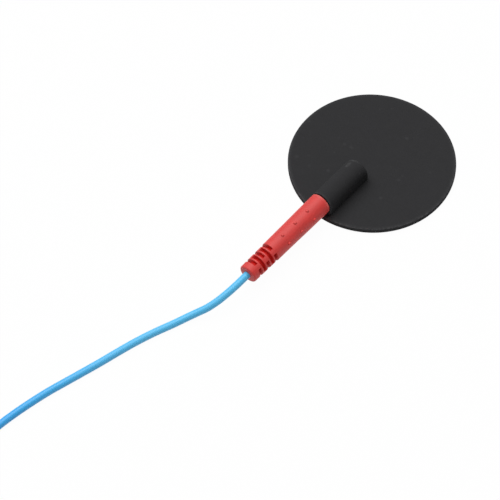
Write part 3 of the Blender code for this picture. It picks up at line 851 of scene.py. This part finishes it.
def plug_material(finish):
    """Satin red moulding, with a sheen on its outside."""
    material, tree, shader, place = new_material(
        "moulded_red", Specular_IOR_Level=0.1, Coat_IOR=1.62, Coat_Roughness=0.6
    )
    red = finish.plug
    tone = effect(tree, "soft_mottle", Vector=place, Scale=300.0, Softness=0.25)
    base = mixed(tree, tone, scaled(red, 0.94), scaled(red, 1.05))
    # Painted highlight: a paler red line along the front edge's round
    edge = attribute(tree, "edge")
    painted_highlight = effect(tree, "rubbed_edges", Edge=edge, Vector=place, Strength=0.35)
    base = mixed(tree, painted_highlight, base, RED_EDGE_HIGHLIGHT)
    dust = effect(tree, "pale_specks", Vector=place, Scale=700.0, Size=0.1, Share=0.06)
    base = mixed(tree, maths(tree, "MULTIPLY", dust, 0.25), base, RED_DUST)
    colour_and_roughness(tree, shader, base, tone, 0.56, 0.64)

    # The sheen leaves out the slots, whose walls see only each other
    outside = step_between(tree, attribute(tree, "slot"), 0.1, 0.6, 1.0, 0.0)
    tree.links.new(outside, shader.inputs["Coat Weight"])
    grain = effect(tree, "fine_grain", Vector=place, Scale=2600.0, Cells=0.3)
    bump(tree, shader, grain, 0.00003, 0.4)
    return material


def lead_material(finish):
    """Smooth blue insulation, a little deeper further on, with faint marks along it."""
    material, tree, shader, place = new_material("lead_insulation", Specular_IOR_Level=0.5)
    along = attribute(tree, "along")
    run = vector(tree, along)
    tone = effect(tree, "soft_mottle", Vector=run, Scale=28.0, Softness=0.25)
    further = step_between(tree, along, DEEPENS_FROM, DEEPENS_TO)
    base = mixed(tree, further, finish.lead, finish.lead_deep)
    paler = mixed(tree, 0.06, base, (1.0, 1.0, 1.0))
    base = mixed(tree, maths(tree, "MULTIPLY", tone, 0.6), base, paler)
    dust = effect(tree, "pale_specks", Vector=place, Scale=600.0, Size=0.1, Share=0.04)
    base = mixed(tree, maths(tree, "MULTIPLY", dust, 0.2), base, LEAD_DUST)
    colour_and_roughness(tree, shader, base, tone, 0.36, 0.44)
    draw = effect(tree, "soft_mottle", Vector=run, Scale=900.0, Softness=0.4)
    bump(tree, shader, draw, 0.00001, 0.12)
    return material


def nickel_material(finish):
    """Nickel plate with fine turning marks."""
    material, tree, shader, place = new_material("nickel_plate", Metallic=1.0)
    tone = effect(tree, "soft_mottle", Vector=place, Scale=500.0, Softness=0.25)
    base = mixed(tree, tone, scaled(finish.nickel, 0.92), finish.nickel)
    colour_and_roughness(tree, shader, base, tone, 0.2, 0.3)
    inputs = {"Vector": place, "Scale": 2600.0, "Distortion": 1.5, "Detail": 2.0}
    turning = new_node(tree, "ShaderNodeTexWave", inputs, bands_direction="Y").outputs["Fac"]
    bump(tree, shader, turning, 0.000008, 0.3)
    return material


def copper_material(finish):
    """Bare copper strands, darker in places."""
    material, tree, shader, place = new_material("copper_strands", Metallic=1.0)
    tone = effect(tree, "soft_mottle", Vector=place, Scale=900.0, Softness=0.2)
    base = mixed(tree, tone, scaled(finish.copper, 0.75), finish.copper)
    colour_and_roughness(tree, shader, base, tone, 0.24, 0.4)
    return material


MATERIALS = {
    "conductive_rubber": rubber_material,
    "moulded_red": plug_material,
    "lead_insulation": lead_material,
    "nickel_plate": nickel_material,
    "copper_strands": copper_material,
}


def get_material(scene, name):
    """Material by name, made from the scene's finishes when it is first asked for."""
    found = bpy.data.materials.get(name)
    if found is not None:
        return found
    group = scene.electrode_finishes
    shades = {}
    for prop in group.bl_rna.properties:
        if prop.type == "FLOAT":
            shades[prop.identifier] = tuple(getattr(group, prop.identifier))
    return MATERIALS[name](SimpleNamespace(**shades))


# Lead's route, from the plug's inside to the far plug's inside, in millimetres

# Points of the part that is seen, each with its x, its share of the run along -Y, and its
# share of the height at which the lead leaves the plug
LEAD_ROUTE = [
    (0.0, 0.0175, 0.995),
    (-0.1, 0.0388, 0.95),
    (-0.5, 0.0665, 0.83),
    (-1.2, 0.0934, 0.65),
    (-2.3, 0.1179, 0.44),
    (-3.7, 0.1383, 0.25),
    (-5.0, 0.1587, 0.11),
    (-6.1, 0.1791, 0.03),
    (-7.1, 0.1995, 0.0),
    (-9.1, 0.2411, 0.0),
    (-10.9, 0.2852, 0.0),
    (-12.4, 0.3293, 0.0),
    (-13.8, 0.3741, 0.0),
    (-15.3, 0.4182, 0.0),
    (-16.8, 0.4614, 0.0),
    (-18.3, 0.5047, 0.0),
    (-19.5, 0.5488, 0.0),
    (-20.5, 0.5936, 0.0),
    (-21.2, 0.6385, 0.0),
    (-21.2, 0.6793, 0.0),
    (-20.4, 0.7193, 0.0),
    (-18.9, 0.7585, 0.0),
    (-17.0, 0.7968, 0.0),
]

# Fine points in a span of the route and in a turn of the coil
ROUTE_SPAN_STEPS = 24
COIL_TURN_STEPS = 90

# Turns over which the coil climbs to its upper layer, to each side of its middle
COIL_CLIMB_TURNS = 0.35


def coil_point(s, radius, angle, height):
    """Point at a radius, angle and height round the coil's centre."""
    return s.coil_centre + Vector((radius * math.cos(angle), radius * math.sin(angle), height))


def coil_heading(angle):
    """Direction of the lead at an angle round the coil, which is wound clockwise."""
    return Vector((math.sin(angle), -math.cos(angle), 0.0))


def coil_run(s):
    """Straight run between the edge of the coil's room and the lead's tangent point."""
    clear = s.coil_radius + s.lead_radius + s.clearance
    return math.sqrt(clear**2 - s.outer_turn_radius**2)


def smooth_route(points):
    """Fine points on a smooth curve through the route's points."""
    padded = [2 * points[0] - points[1], *points, 2 * points[-1] - points[-2]]
    fine = []
    for before, first, second, after in zip(padded, padded[1:], padded[2:], padded[3:]):
        for index in range(ROUTE_SPAN_STEPS):
            t = index / ROUTE_SPAN_STEPS
            even = 2 * first + (second - before) * t
            even += (2 * before - 5 * first + 4 * second - after) * t**2
            even += (3 * first - 3 * second + after - before) * t**3
            fine.append(even / 2)
    fine.append(points[-1])
    return fine


def evenly_spaced(fine, step):
    """Points a step apart along a fine line of points."""
    travelled = [0.0]
    for first, second in zip(fine, fine[1:]):
        travelled.append(travelled[-1] + (second - first).length)
    count = round(travelled[-1] / step)
    spaced = []
    index = 0
    for place in range(count + 1):
        target = travelled[-1] * place / count
        while index < len(fine) - 2 and travelled[index + 1] < target:
            index += 1
        span = travelled[index + 1] - travelled[index]
        spaced.append(fine[index].lerp(fine[index + 1], (target - travelled[index]) / span))
    return spaced


def coil_line(s):
    """Coil's line: inwards along the floor, up at the inner turn, outwards on top."""
    line = []
    steps = round(s.coil_turns * COIL_TURN_STEPS)
    for index in range(steps + 1):
        turns = s.coil_turns * index / steps
        inwards = min(turns, s.coil_turns - turns)
        radius = s.outer_turn_radius - s.lead_diameter * inwards
        climb = max(-1.0, min(1.0, (turns - s.coil_turns / 2) / COIL_CLIMB_TURNS))
        rise = (1 + (3 * climb - climb**3) / 2) / 2
        height = s.lead_radius + s.lead_diameter * rise
        line.append(coil_point(s, radius, s.entry_angle - math.tau * turns, height))
    return line


def far_plug_front(s):
    """Point of the far plug's front face, and the direction in which its pin points."""
    heading = coil_heading(s.exit_angle)
    start = coil_point(s, s.outer_turn_radius, s.exit_angle, s.top_turn_height)
    collar = start + (coil_run(s) + s.tail_stub) * heading
    collar.z = s.front_diameter / 2
    return collar + s.plug_length * heading, heading


def lead_path(s):
    """The whole lead's points, a step apart, in millimetres."""
    points = [
        Vector((0.0, s.plug_front_y - s.lead_start, s.axis_height)),
        Vector((0.0, s.plug_front_y - (s.lead_start + s.plug_length) / 2, s.axis_height)),
        Vector((0.0, s.collar_y, s.axis_height)),
    ]
    for x, run_share, rise_share in LEAD_ROUTE:
        height = s.lead_radius + rise_share * (s.axis_height - s.lead_radius)
        points.append(Vector((x, s.collar_y - run_share * s.run_length, height)))
    tangent = coil_point(s, s.outer_turn_radius, s.entry_angle, s.lead_radius)
    run = coil_run(s) * coil_heading(s.entry_angle)
    points += [tangent - run, tangent - run / 2, tangent]
    front, heading = far_plug_front(s)
    leaving = coil_point(s, s.outer_turn_radius, s.exit_angle, s.top_turn_height)
    off_coil = leaving + coil_run(s) * heading
    collar = front - s.plug_length * heading
    tail = [leaving, leaving.lerp(off_coil, 0.5), off_coil, off_coil.lerp(collar, 0.5), collar]
    tail.append(front - s.lead_start * heading)
    line = smooth_route(points)[:-1] + coil_line(s) + smooth_route(tail)[1:]
    for point in line:
        point.z = max(point.z, s.lead_radius)
    return evenly_spaced(line, s.path_step)


# Operators, one for each piece or group of like pieces


class ELECTRODE_OT_camera(Operator):
    """Set the camera where the photograph was taken from"""

    bl_idname = "electrode.camera"
    bl_label = "Camera"

    def execute(self, context):
        data = bpy.data.cameras.new("photo_camera")
        data.lens = context.scene.electrode_stage.focal_length
        data.clip_start, data.clip_end = CAMERA_CLIP
        camera = bpy.data.objects.new("photo_camera", data)
        context.scene.collection.objects.link(camera)
        look = Vector(CAMERA_LOOK).normalized()
        right = Vector(CAMERA_RIGHT).normalized()
        up = right.cross(look)
        turned = Matrix((right, up, -look)).transposed().to_4x4()
        camera.matrix_world = Matrix.Translation(Vector(CAMERA_PLACE) * MM) @ turned
        context.scene.camera = camera
        return {"FINISHED"}


class ELECTRODE_OT_lead(Operator):
    """Lay the lead from the pad's plug to its coil and on into the far plug"""

    bl_idname = "electrode.lead"
    bl_label = "Lead"

    def execute(self, context):
        s = read_sizes(context.scene)
        path = [point * MM for point in lead_path(s)]
        curve = bpy.data.curves.new("lead_line", "CURVE")
        curve.dimensions = "3D"
        spline = curve.splines.new("POLY")
        spline.points.add(len(path) - 1)
        for target, point in zip(spline.points, path):
            target.co = (*point, 1.0)
        values = {
            "Radius": s.lead_radius * MM,
            "Sides": LEAD_SIDES,
            "Material": get_material(context.scene, "lead_insulation"),
        }
        mesh = run_tree(loose("lead_line", curve), tube_tree(), values)
        smooth(mesh)
        place_piece("blue_lead", mesh, ["lead_wire", "lead_coil", "lead_tail"])
        return {"FINISHED"}


class ELECTRODE_OT_pad(Operator):
    """Mould the rubber disc with its socket boss"""

    bl_idname = "electrode.pad"
    bl_label = "Rubber pad"

    def execute(self, context):
        s = read_sizes(context.scene)
        blank = loose("pad_blank", disc_mesh(s))
        fillet = loose("pad_fillet", fillet_mesh(s))
        boss = loose("pad_boss", boss_mesh(s))
        bore = loose("pad_bore", bore_mesh(s))
        boolean(blank, fillet, "UNION")
        boolean(blank, boss, "UNION")
        boolean(blank, bore, "DIFFERENCE")
        mesh = worked(blank, fillet, boss, bore)
        mark_highlight_edges(s, mesh)
        lift_rim(s, mesh)
        mesh.transform(Matrix.Scale(MM, 4))
        smooth(mesh)
        material = get_material(context.scene, "conductive_rubber")
        place_piece("rubber_pad", mesh, ["electrode_pad"], material)
        return {"FINISHED"}


class ELECTRODE_OT_plugs(Operator):
    """Mould both plug bodies, with slots and nibs"""

    bl_idname = "electrode.plugs"
    bl_label = "Plug bodies"

    def execute(self, context):
        s = read_sizes(context.scene)
        names = PLUG_LENGTHS + PLUG_COUNTS
        values = {name: getattr(s, name.lower().replace(" ", "_")) for name in names}
        values["Material"] = get_material(context.scene, "moulded_red")
        blank = lathe("plug_blank", plug_outline(s), PLUG_SIDES, closed=True)
        mark_front_edge(s, blank)
        mesh = run_tree(loose("plug_blank", blank), plug_tree(), values)
        place_at_plugs(s, "red_plug", mesh, "plug_body")
        return {"FINISHED"}


class ELECTRODE_OT_pins(Operator):
    """Turn both contact pins"""

    bl_idname = "electrode.pins"
    bl_label = "Contact pins"

    def execute(self, context):
        s = read_sizes(context.scene)
        material = get_material(context.scene, "nickel_plate")
        mesh = lathe("nickel_pin", pin_outline(s), PIN_SIDES)
        place_at_plugs(s, "nickel_pin", mesh, "contact_pin", material)
        return {"FINISHED"}


class ELECTRODE_OT_cores(Operator):
    """Twist the bared strands that the pins' barrels hold"""

    bl_idname = "electrode.cores"
    bl_label = "Stranded core ends"

    def execute(self, context):
        s = read_sizes(context.scene)
        foot = s.clearance - s.lead_start
        values = {
            "Core Radius": s.core_diameter / 2,
            "Length": s.core_grip - s.barrel_end - foot,
            "Lay": s.strand_lay,
            "Material": get_material(context.scene, "copper_strands"),
        }
        start = bpy.data.meshes.new("core_start")
        mesh = run_tree(loose("core_start", start), strand_tree(), values)
        place_at_plugs(
            s, "core_strands", mesh, "conductor_end", foot=foot
        )
        return {"FINISHED"}


class ELECTRODE_OT_declare_lead(Operator):
    """Work out the plugs' places and the lead's path, which nothing here uses"""

    bl_idname = "electrode.declare_lead"
    bl_label = "Declare lead"

    def execute(self, context):
        s = read_sizes(context.scene)
        for prefix in plug_places(s):
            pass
        [point * MM for point in lead_path(s)]
        return {"FINISHED"}


class ELECTRODE_OT_stage(Operator):
    """Set the white floor, the soft key lamp and the sky"""

    bl_idname = "electrode.stage"
    bl_label = "Stage"

    def execute(self, context):
        stage = context.scene.electrode_stage
        context.scene.view_settings.view_transform = "Standard"
        floor_mesh = bpy.data.meshes.new("floor")
        work = bmesh.new()
        bmesh.ops.create_grid(work, x_segments=1, y_segments=1, size=FLOOR_HALF)
        work.to_mesh(floor_mesh)
        work.free()
        floor_mesh.materials.append(floor_material(stage))
        floor = bpy.data.objects.new("floor", floor_mesh)
        floor.location.z = FLOOR_DROP
        context.scene.collection.objects.link(floor)
        add_key_lamp(context, stage.key_level)
        context.scene.world = sky_world(stage)
        return {"FINISHED"}


# Shapes of the pad

# Rings across the disc's faces, as shares of the way out to its edge round
DISC_RINGS = (0.3, 0.5, 0.65, 0.77, 0.86, 0.93, 0.97)

# How far a cutter runs on past the face that it opens
CUTTER_OVERRUN = 1.0

# Distances from an edge within which its painted highlight is full, and past which there is none
PAD_HIGHLIGHT_REACH = (0.05, 0.4)
PLUG_HIGHLIGHT_REACH = (0.1, 0.5)

# Share of the disc's radius inside which it lies flat, and how the rim's lift varies round it:
# its mean as a share of the full lift, then waves in a turn, share and shift of each wave
FLAT_SHARE = 0.45
RIM_MEAN = 0.5
RIM_WAVES = ((2, 0.32, 0.6), (3, 0.18, -1.1))


def disc_mesh(s):
    """Disc with rings across its faces, so that the rim can lift smoothly."""
    inner = s.disc_diameter / 2 - s.disc_edge_round
    rings = [inner * share for share in DISC_RINGS]
    outline = [(0.0, s.disc_thickness)]
    outline += [(radius, s.disc_thickness) for radius in rings]
    outline += arc((inner, s.disc_thickness - s.disc_edge_round), s.disc_edge_round, 90, 0)
    outline += arc((inner, s.disc_edge_round), s.disc_edge_round, 0, -90)
    outline += [(radius, 0.0) for radius in reversed(rings)]
    outline += [(0.0, 0.0)]
    return lathe("pad_blank", outline, DISC_SIDES)


def boss_section(s, y, inset, drop=0.0):
    """Arch-shaped section of the boss, from inside the disc up over its round top."""
    half_width = s.boss_width / 2 - inset
    root = s.disc_thickness / 2
    section = [(half_width, y, root)]
    for x, z in arc((0.0, s.axis_height - drop), half_width, 0, 180, 7 * ROUND_STEPS):
        section.append((x, y, z))
    section.append((-half_width, y, root))
    return section


def rounding(distance, reach, depth):
    """How far a face has curved in at a distance from the end of a rounding's reach."""
    share = max(0.0, 1 - distance / reach)
    return depth * (1 - math.sqrt(1 - share**2))


def boss_mesh(s):
    """The boss's outside along Y, with a small round at its mouth and a dome inward."""
    sections = []
    for inset, forward in arc((-s.mouth_round, 0.0), s.mouth_round, 90, 0):
        sections.append(boss_section(s, s.mouth_y + s.mouth_round - forward, -inset))
    sections.append(boss_section(s, s.mouth_y + 3 * s.mouth_round, 0.0))
    sections.append(boss_section(s, s.boss_end_y - 1.5 * s.dome_length, 0.0))
    for step in range(DOME_STEPS + 1):
        left = s.dome_length * (1 - math.sin(math.radians(90) * step / DOME_STEPS))
        inset = rounding(left, s.end_round, s.end_round)
        drop = rounding(left, s.dome_length, s.dome_drop)
        sections.append(boss_section(s, s.boss_end_y - left, inset, drop))
    return skinned("pad_boss", sections)


def fillet_outline(s, flare, height):
    """Outline round the boss's three closed sides, a flare away from them."""
    half_width = s.boss_width / 2 + flare
    corner = s.end_round + flare
    across = half_width - corner
    inner_y = s.boss_end_y + flare - corner
    mouth_y = s.mouth_y + s.mouth_round
    outline = [(-half_width, mouth_y, height), (half_width, mouth_y, height)]
    corners = arc((across, inner_y), corner, 0, 90, 2 * ROUND_STEPS)
    corners += arc((-across, inner_y), corner, 90, 180, 2 * ROUND_STEPS)
    outline += [(x, y, height) for x, y in corners]
    return outline


def fillet_mesh(s):
    """Hollow fillet between the boss's sides and the disc, sunk a hair into the sides."""
    sink = s.fillet / 20
    levels = [fillet_outline(s, s.fillet, s.disc_thickness / 2)]
    for step in range(ROUND_STEPS + 1):
        angle = math.radians(90) * step / ROUND_STEPS
        flare = (s.fillet + sink) * (1 - math.sin(angle)) - sink
        rise = s.fillet * (1 - math.cos(angle))
        levels.append(fillet_outline(s, flare, s.disc_thickness + rise))
    return skinned("pad_fillet", levels)


def bore_mesh(s):
    """Blind bore for the contact pin, with a small lead-in at its mouth."""
    radius = s.pin_diameter / 2 + s.clearance
    blind_end = s.pin_reach + s.clearance
    mouth = radius + s.socket_lead_in
    outline = [(0.0, blind_end)]
    outline += arc((radius / 2, blind_end - radius / 2), radius / 2, 90, 0)
    outline += [(radius, s.socket_lead_in - s.clearance), (mouth, -s.clearance)]
    open_end = -s.clearance - CUTTER_OVERRUN
    outline += [(mouth, open_end), (0.0, open_end)]
    mesh = lathe("pad_bore", outline, PIN_SIDES)
    along_y = Matrix.Rotation(math.radians(-90), 4, "X")
    start = Matrix.Translation((0.0, s.plug_front_y + 2 * s.clearance, s.axis_height))
    mesh.transform(start @ along_y)
    return mesh


def mark_highlight_edges(s, mesh):
    """Keeps how near each point is to the rim's top edge or the mouth's edge, for the material's
    painted highlight.
    """
    rim = s.disc_diameter / 2 - 0.5 * s.disc_edge_round
    rim_height = s.disc_thickness - 0.2 * s.disc_edge_round
    marks = mesh.attributes.new("edge", "FLOAT", "POINT")
    half_width = s.boss_width / 2
    for vertex, mark in zip(mesh.vertices, marks.data):
        x, y, z = vertex.co
        nearest = math.hypot(math.hypot(x, y) - rim, z - rim_height)
        if z > s.disc_thickness + s.fillet:
            above = max(0.0, z - s.axis_height)
            shell = half_width - math.hypot(x, above)
            nearest = min(nearest, math.hypot(shell, y - s.mouth_y))
        mark.value = 1 - blend(*PAD_HIGHLIGHT_REACH, nearest)


def lift_rim(s, mesh):
    """Lets the limp rim stand a little off the floor in places, but not by the boss."""
    half_width = s.boss_width / 2
    for vertex in mesh.vertices:
        x, y, z = vertex.co
        out = 2 * math.hypot(x, y) / s.disc_diameter
        around = math.atan2(y, x)
        wave = RIM_MEAN
        for count, share, shift in RIM_WAVES:
            wave += share * math.cos(count * around + shift)
        beside = blend(half_width, 3 * half_width, abs(x))
        beyond = blend(s.boss_end_y, s.boss_end_y + 3 * half_width, y)
        lift = s.rim_lift * wave * blend(FLAT_SHARE, 1.0, out)
        vertex.co.z = z + lift * max(beside, beyond)


# Shapes of the plug and its pin, along Z with the front face at zero and the pin upwards


def grip_radius(s, behind):
    """Outer radius of the moulding at a distance behind its front face."""
    front, waist = s.front_diameter / 2, s.waist_diameter / 2
    grip_end, relief = s.grip_end_diameter / 2, s.relief_diameter / 2
    if behind < s.land_length:
        return front
    if behind < s.waist_at:
        share = (behind - s.land_length) / (s.waist_at - s.land_length)
        return front - (front - waist) * share**s.taper_bend
    round_at = s.grip_length - s.grip_end_round
    if behind < round_at:
        share = (behind - s.waist_at) / (round_at - s.waist_at)
        return waist + (grip_end - waist) * share
    if behind < s.grip_length:
        drop = behind - round_at
        corner = math.sqrt(max(0.0, s.grip_end_round**2 - drop**2))
        return max(relief, grip_end - s.grip_end_round + corner)
    share = (behind - s.grip_length) / (s.plug_length - s.collar_end_round - s.grip_length)
    return relief + (s.collar_diameter / 2 - relief) * share


def mark_front_edge(s, mesh):
    """Keeps how near each point is to the moulding's front edge, for the material's painted
    highlight.
    """
    marks = mesh.attributes.new("edge", "FLOAT", "POINT")
    for vertex, mark in zip(mesh.vertices, marks.data):
        out = math.hypot(vertex.co.x, vertex.co.y) - s.front_diameter / 2 + s.front_round / 2
        nearest = math.hypot(out, vertex.co.z + s.front_round / 2)
        mark.value = 1 - blend(*PLUG_HIGHLIGHT_REACH, nearest)


# Spacing of the rings of points along the grip, and across each wall of a slot as shares
GRIP_SPACING = 0.75
WALL_SHARES = (-1.3, -1.0, -0.6, -0.3, 0.0, 0.3, 0.6, 1.0, 1.3)


def plug_outline(s):
    """Closed half section of the moulding: its outside downwards and its cavity upwards."""
    round_at = s.grip_length - s.grip_end_round
    stations = set()
    for step in range(GRIP_END_STEPS + 1):
        stations.add(s.grip_length - s.grip_end_round * (1 - step / GRIP_END_STEPS))
    behind = s.land_length
    while behind < round_at:
        stations.add(behind)
        behind += GRIP_SPACING
    wall = s.slot_wall / 2
    for ring in range(s.slot_count):
        middle = s.slot_first_at + ring * s.slot_pitch
        for side in (-1, 1):
            for share in WALL_SHARES:
                stations.add(middle + side * (s.slot_width / 2 + share * wall))
        stations.update((middle, middle + s.slot_pitch / 2))
    end_round = s.plug_length - s.collar_end_round
    kept = sorted(place for place in stations if s.land_length <= place < end_round)
    front_corner = (s.front_diameter / 2 - s.front_round, -s.front_round)
    outline = arc(front_corner, s.front_round, 90, 0)
    outline += [(grip_radius(s, place), -place) for place in kept]
    end_centre = (s.end_face_radius, -end_round)
    outline += arc(end_centre, s.collar_end_round, 0, -90, 2 * ROUND_STEPS)
    return outline + cavity_outline(s)


def cavity_outline(s):
    """Inside of the moulding, from its lead end up to its front face."""
    shank = s.pin_diameter / 2 + s.clearance
    flange = s.flange_diameter / 2 + s.clearance
    barrel = s.barrel_diameter / 2 + s.clearance
    lead = s.lead_radius + s.clearance
    flange_top = -(s.shank_length - s.clearance)
    flange_foot = -(s.shank_length + s.flange_length + s.clearance)
    barrel_foot = -(s.barrel_end + s.clearance)
    lip = s.lead_radius + s.lip_gap
    return [
        (lip, -s.plug_length),
        (lip, s.lip_length - s.plug_length),
        (lead, s.lip_length - s.plug_length),
        (lead, barrel_foot),
        (barrel, barrel_foot + barrel - lead),
        (barrel, flange_foot),
        (flange, flange_foot),
        (flange, flange_top),
        (shank, flange_top),
        (shank, 0.0),
    ]


# Radius of the round on the flange's edges
FLANGE_EDGE_ROUND = 0.06


def pin_outline(s):
    """Half section of the contact pin and its crimp barrel, from the tip down."""
    pin, flange, barrel = s.pin_diameter / 2, s.flange_diameter / 2, s.barrel_diameter / 2
    bore = s.core_diameter / 2 + s.clearance
    tip = s.tip_diameter / 2
    outline = [(0.0, s.pin_reach), (tip, s.pin_reach)]
    for step in range(1, ROUND_STEPS + 1):
        angle = math.radians(90) * step / ROUND_STEPS
        drop = s.tip_length * (1 - math.cos(angle))
        outline.append((tip + (pin - tip) * math.sin(angle), s.pin_reach - drop))
    edge, steps = FLANGE_EDGE_ROUND, FLANGE_EDGE_STEPS
    flange_foot = -(s.shank_length + s.flange_length)
    outline.append((pin, -s.shank_length))
    outline += arc((flange - edge, -s.shank_length - edge), edge, 90, 0, steps)
    outline += arc((flange - edge, flange_foot + edge), edge, 0, -90, steps)
    outline += [
        (barrel, flange_foot),
        (barrel, s.barrel_chamfer - s.barrel_end),
        (barrel - s.barrel_chamfer, -s.barrel_end),
        (bore, -s.barrel_end),
        (bore, s.barrel_bore_depth - s.barrel_end),
        (0.0, s.barrel_bore_depth - s.barrel_end),
    ]
    return outline


def plug_places(s):
    """Transform from a plug's own millimetres to its place in metres, by node prefix."""
    far_front, far_heading = far_plug_front(s)
    pad_front = Vector((0.0, s.plug_front_y, s.axis_height))
    places = {}
    for prefix, front, along, roll in (
        ("", pad_front, Vector((0.0, 1.0, 0.0)), s.pad_plug_roll),
        ("far_", far_front, far_heading, s.far_plug_roll),
    ):
        up = Vector((0.0, 0.0, 1.0))
        axes = Matrix((up, along.cross(up), along)).transposed().to_4x4()
        rolled = Matrix.Rotation(roll, 4, "Z")
        places[prefix] = Matrix.Scale(MM, 4) @ Matrix.Translation(front) @ axes @ rolled
    return places


# Stage

WHITE = (1.0, 1.0, 1.0, 1.0)

# Half the floor's side, and how far it lies below the object, in metres
FLOOR_HALF = 3.0
FLOOR_DROP = -0.00005

# Square key lamp: its direction from the object, and its distance and size in metres
KEY_DIRECTION = (-0.36, 0.12, 1.0)
KEY_DISTANCE = 1.3
KEY_SIZE = 1.3


def add_key_lamp(context, level):
    """Soft lamp that gives a level face at the object a set amount of light."""
    data = bpy.data.lights.new("key_lamp", "AREA")
    data.shape = "SQUARE"
    data.size = KEY_SIZE
    way = Vector(KEY_DIRECTION).normalized()
    data.energy = level * math.pi**2 * KEY_DISTANCE**2 / way.z
    lamp = bpy.data.objects.new("key_lamp", data)
    turned = way.to_track_quat("Z", "Y").to_matrix().to_4x4()
    lamp.matrix_world = Matrix.Translation(way * KEY_DISTANCE) @ turned
    context.scene.collection.objects.link(lamp)


def seen_directly(tree):
    """1 for rays from the camera and those that metal and glass send on, 0 for others."""
    path = tree.nodes.new("ShaderNodeLightPath").outputs
    seen = maths(tree, "MAXIMUM", path["Is Camera Ray"], path["Is Glossy Ray"])
    return maths(tree, "MAXIMUM", seen, path["Is Transmission Ray"])


def floor_material(stage):
    """White floor that keeps the object's shadow, part of it shown as plain white."""
    material = bpy.data.materials.new("white_floor")
    material.use_nodes = True
    tree = material.node_tree
    tree.nodes.clear()
    white = stage.floor_white
    lit = output_of(tree, "ShaderNodeBsdfDiffuse", {"Color": (white, white, white, 1.0)})
    plain = output_of(tree, "ShaderNodeEmission", {"Color": WHITE})
    share = maths(tree, "MULTIPLY", seen_directly(tree), stage.floor_clear)
    mix = output_of(tree, "ShaderNodeMixShader", {0: share, 1: lit, 2: plain})
    output = tree.nodes.new("ShaderNodeOutputMaterial")
    tree.links.new(mix, output.inputs["Surface"])
    return material


def sky_world(stage):
    """Even sky that lights at its own level and is seen as plain white."""
    world = bpy.data.worlds.new("soft_sky")
    world.use_nodes = True
    tree = world.node_tree
    background = tree.nodes["Background"]
    background.inputs["Color"].default_value = WHITE
    rest = maths(tree, "MULTIPLY", seen_directly(tree), 1.0 - stage.sky_level)
    level = maths(tree, "ADD", rest, stage.sky_level)
    tree.links.new(level, background.inputs["Strength"])
    return world


# Panel and registration

OPERATORS = [
    ELECTRODE_OT_camera,
    ELECTRODE_OT_lead,
    ELECTRODE_OT_pad,
    ELECTRODE_OT_plugs,
    ELECTRODE_OT_pins,
    ELECTRODE_OT_cores,
    ELECTRODE_OT_declare_lead,
    ELECTRODE_OT_stage,
]


class ELECTRODE_PT_sidebar(Panel):
    """Lists the electrode's pieces and sizes in the sidebar"""

    bl_idname = "ELECTRODE_PT_sidebar"
    bl_label = "Electrode Pad"
    bl_space_type = "VIEW_3D"
    bl_region_type = "UI"
    bl_category = "Electrode Pad"

    def draw(self, context):
        for operator in OPERATORS:
            self.layout.operator(operator.bl_idname)
        for group_name in GROUPS:
            box = self.layout.box()
            group = getattr(context.scene, group_name)
            for prop in group.bl_rna.properties:
                if prop.identifier not in ("rna_type", "name"):
                    box.prop(group, prop.identifier)


CLASSES = [*GROUPS.values(), *OPERATORS, ELECTRODE_PT_sidebar]


def register():
    for each in CLASSES:
        bpy.utils.register_class(each)
    for group_name, group in GROUPS.items():
        setattr(bpy.types.Scene, group_name, PointerProperty(type=group))


def unregister():
    for group_name in GROUPS:
        delattr(bpy.types.Scene, group_name)
    for each in reversed(CLASSES):
        bpy.utils.unregister_class(each)


def main():
    register()
    for operator in OPERATORS:
        family, name = operator.bl_idname.split(".")
        getattr(getattr(bpy.ops, family), name)()


if __name__ == "__main__":
    main()
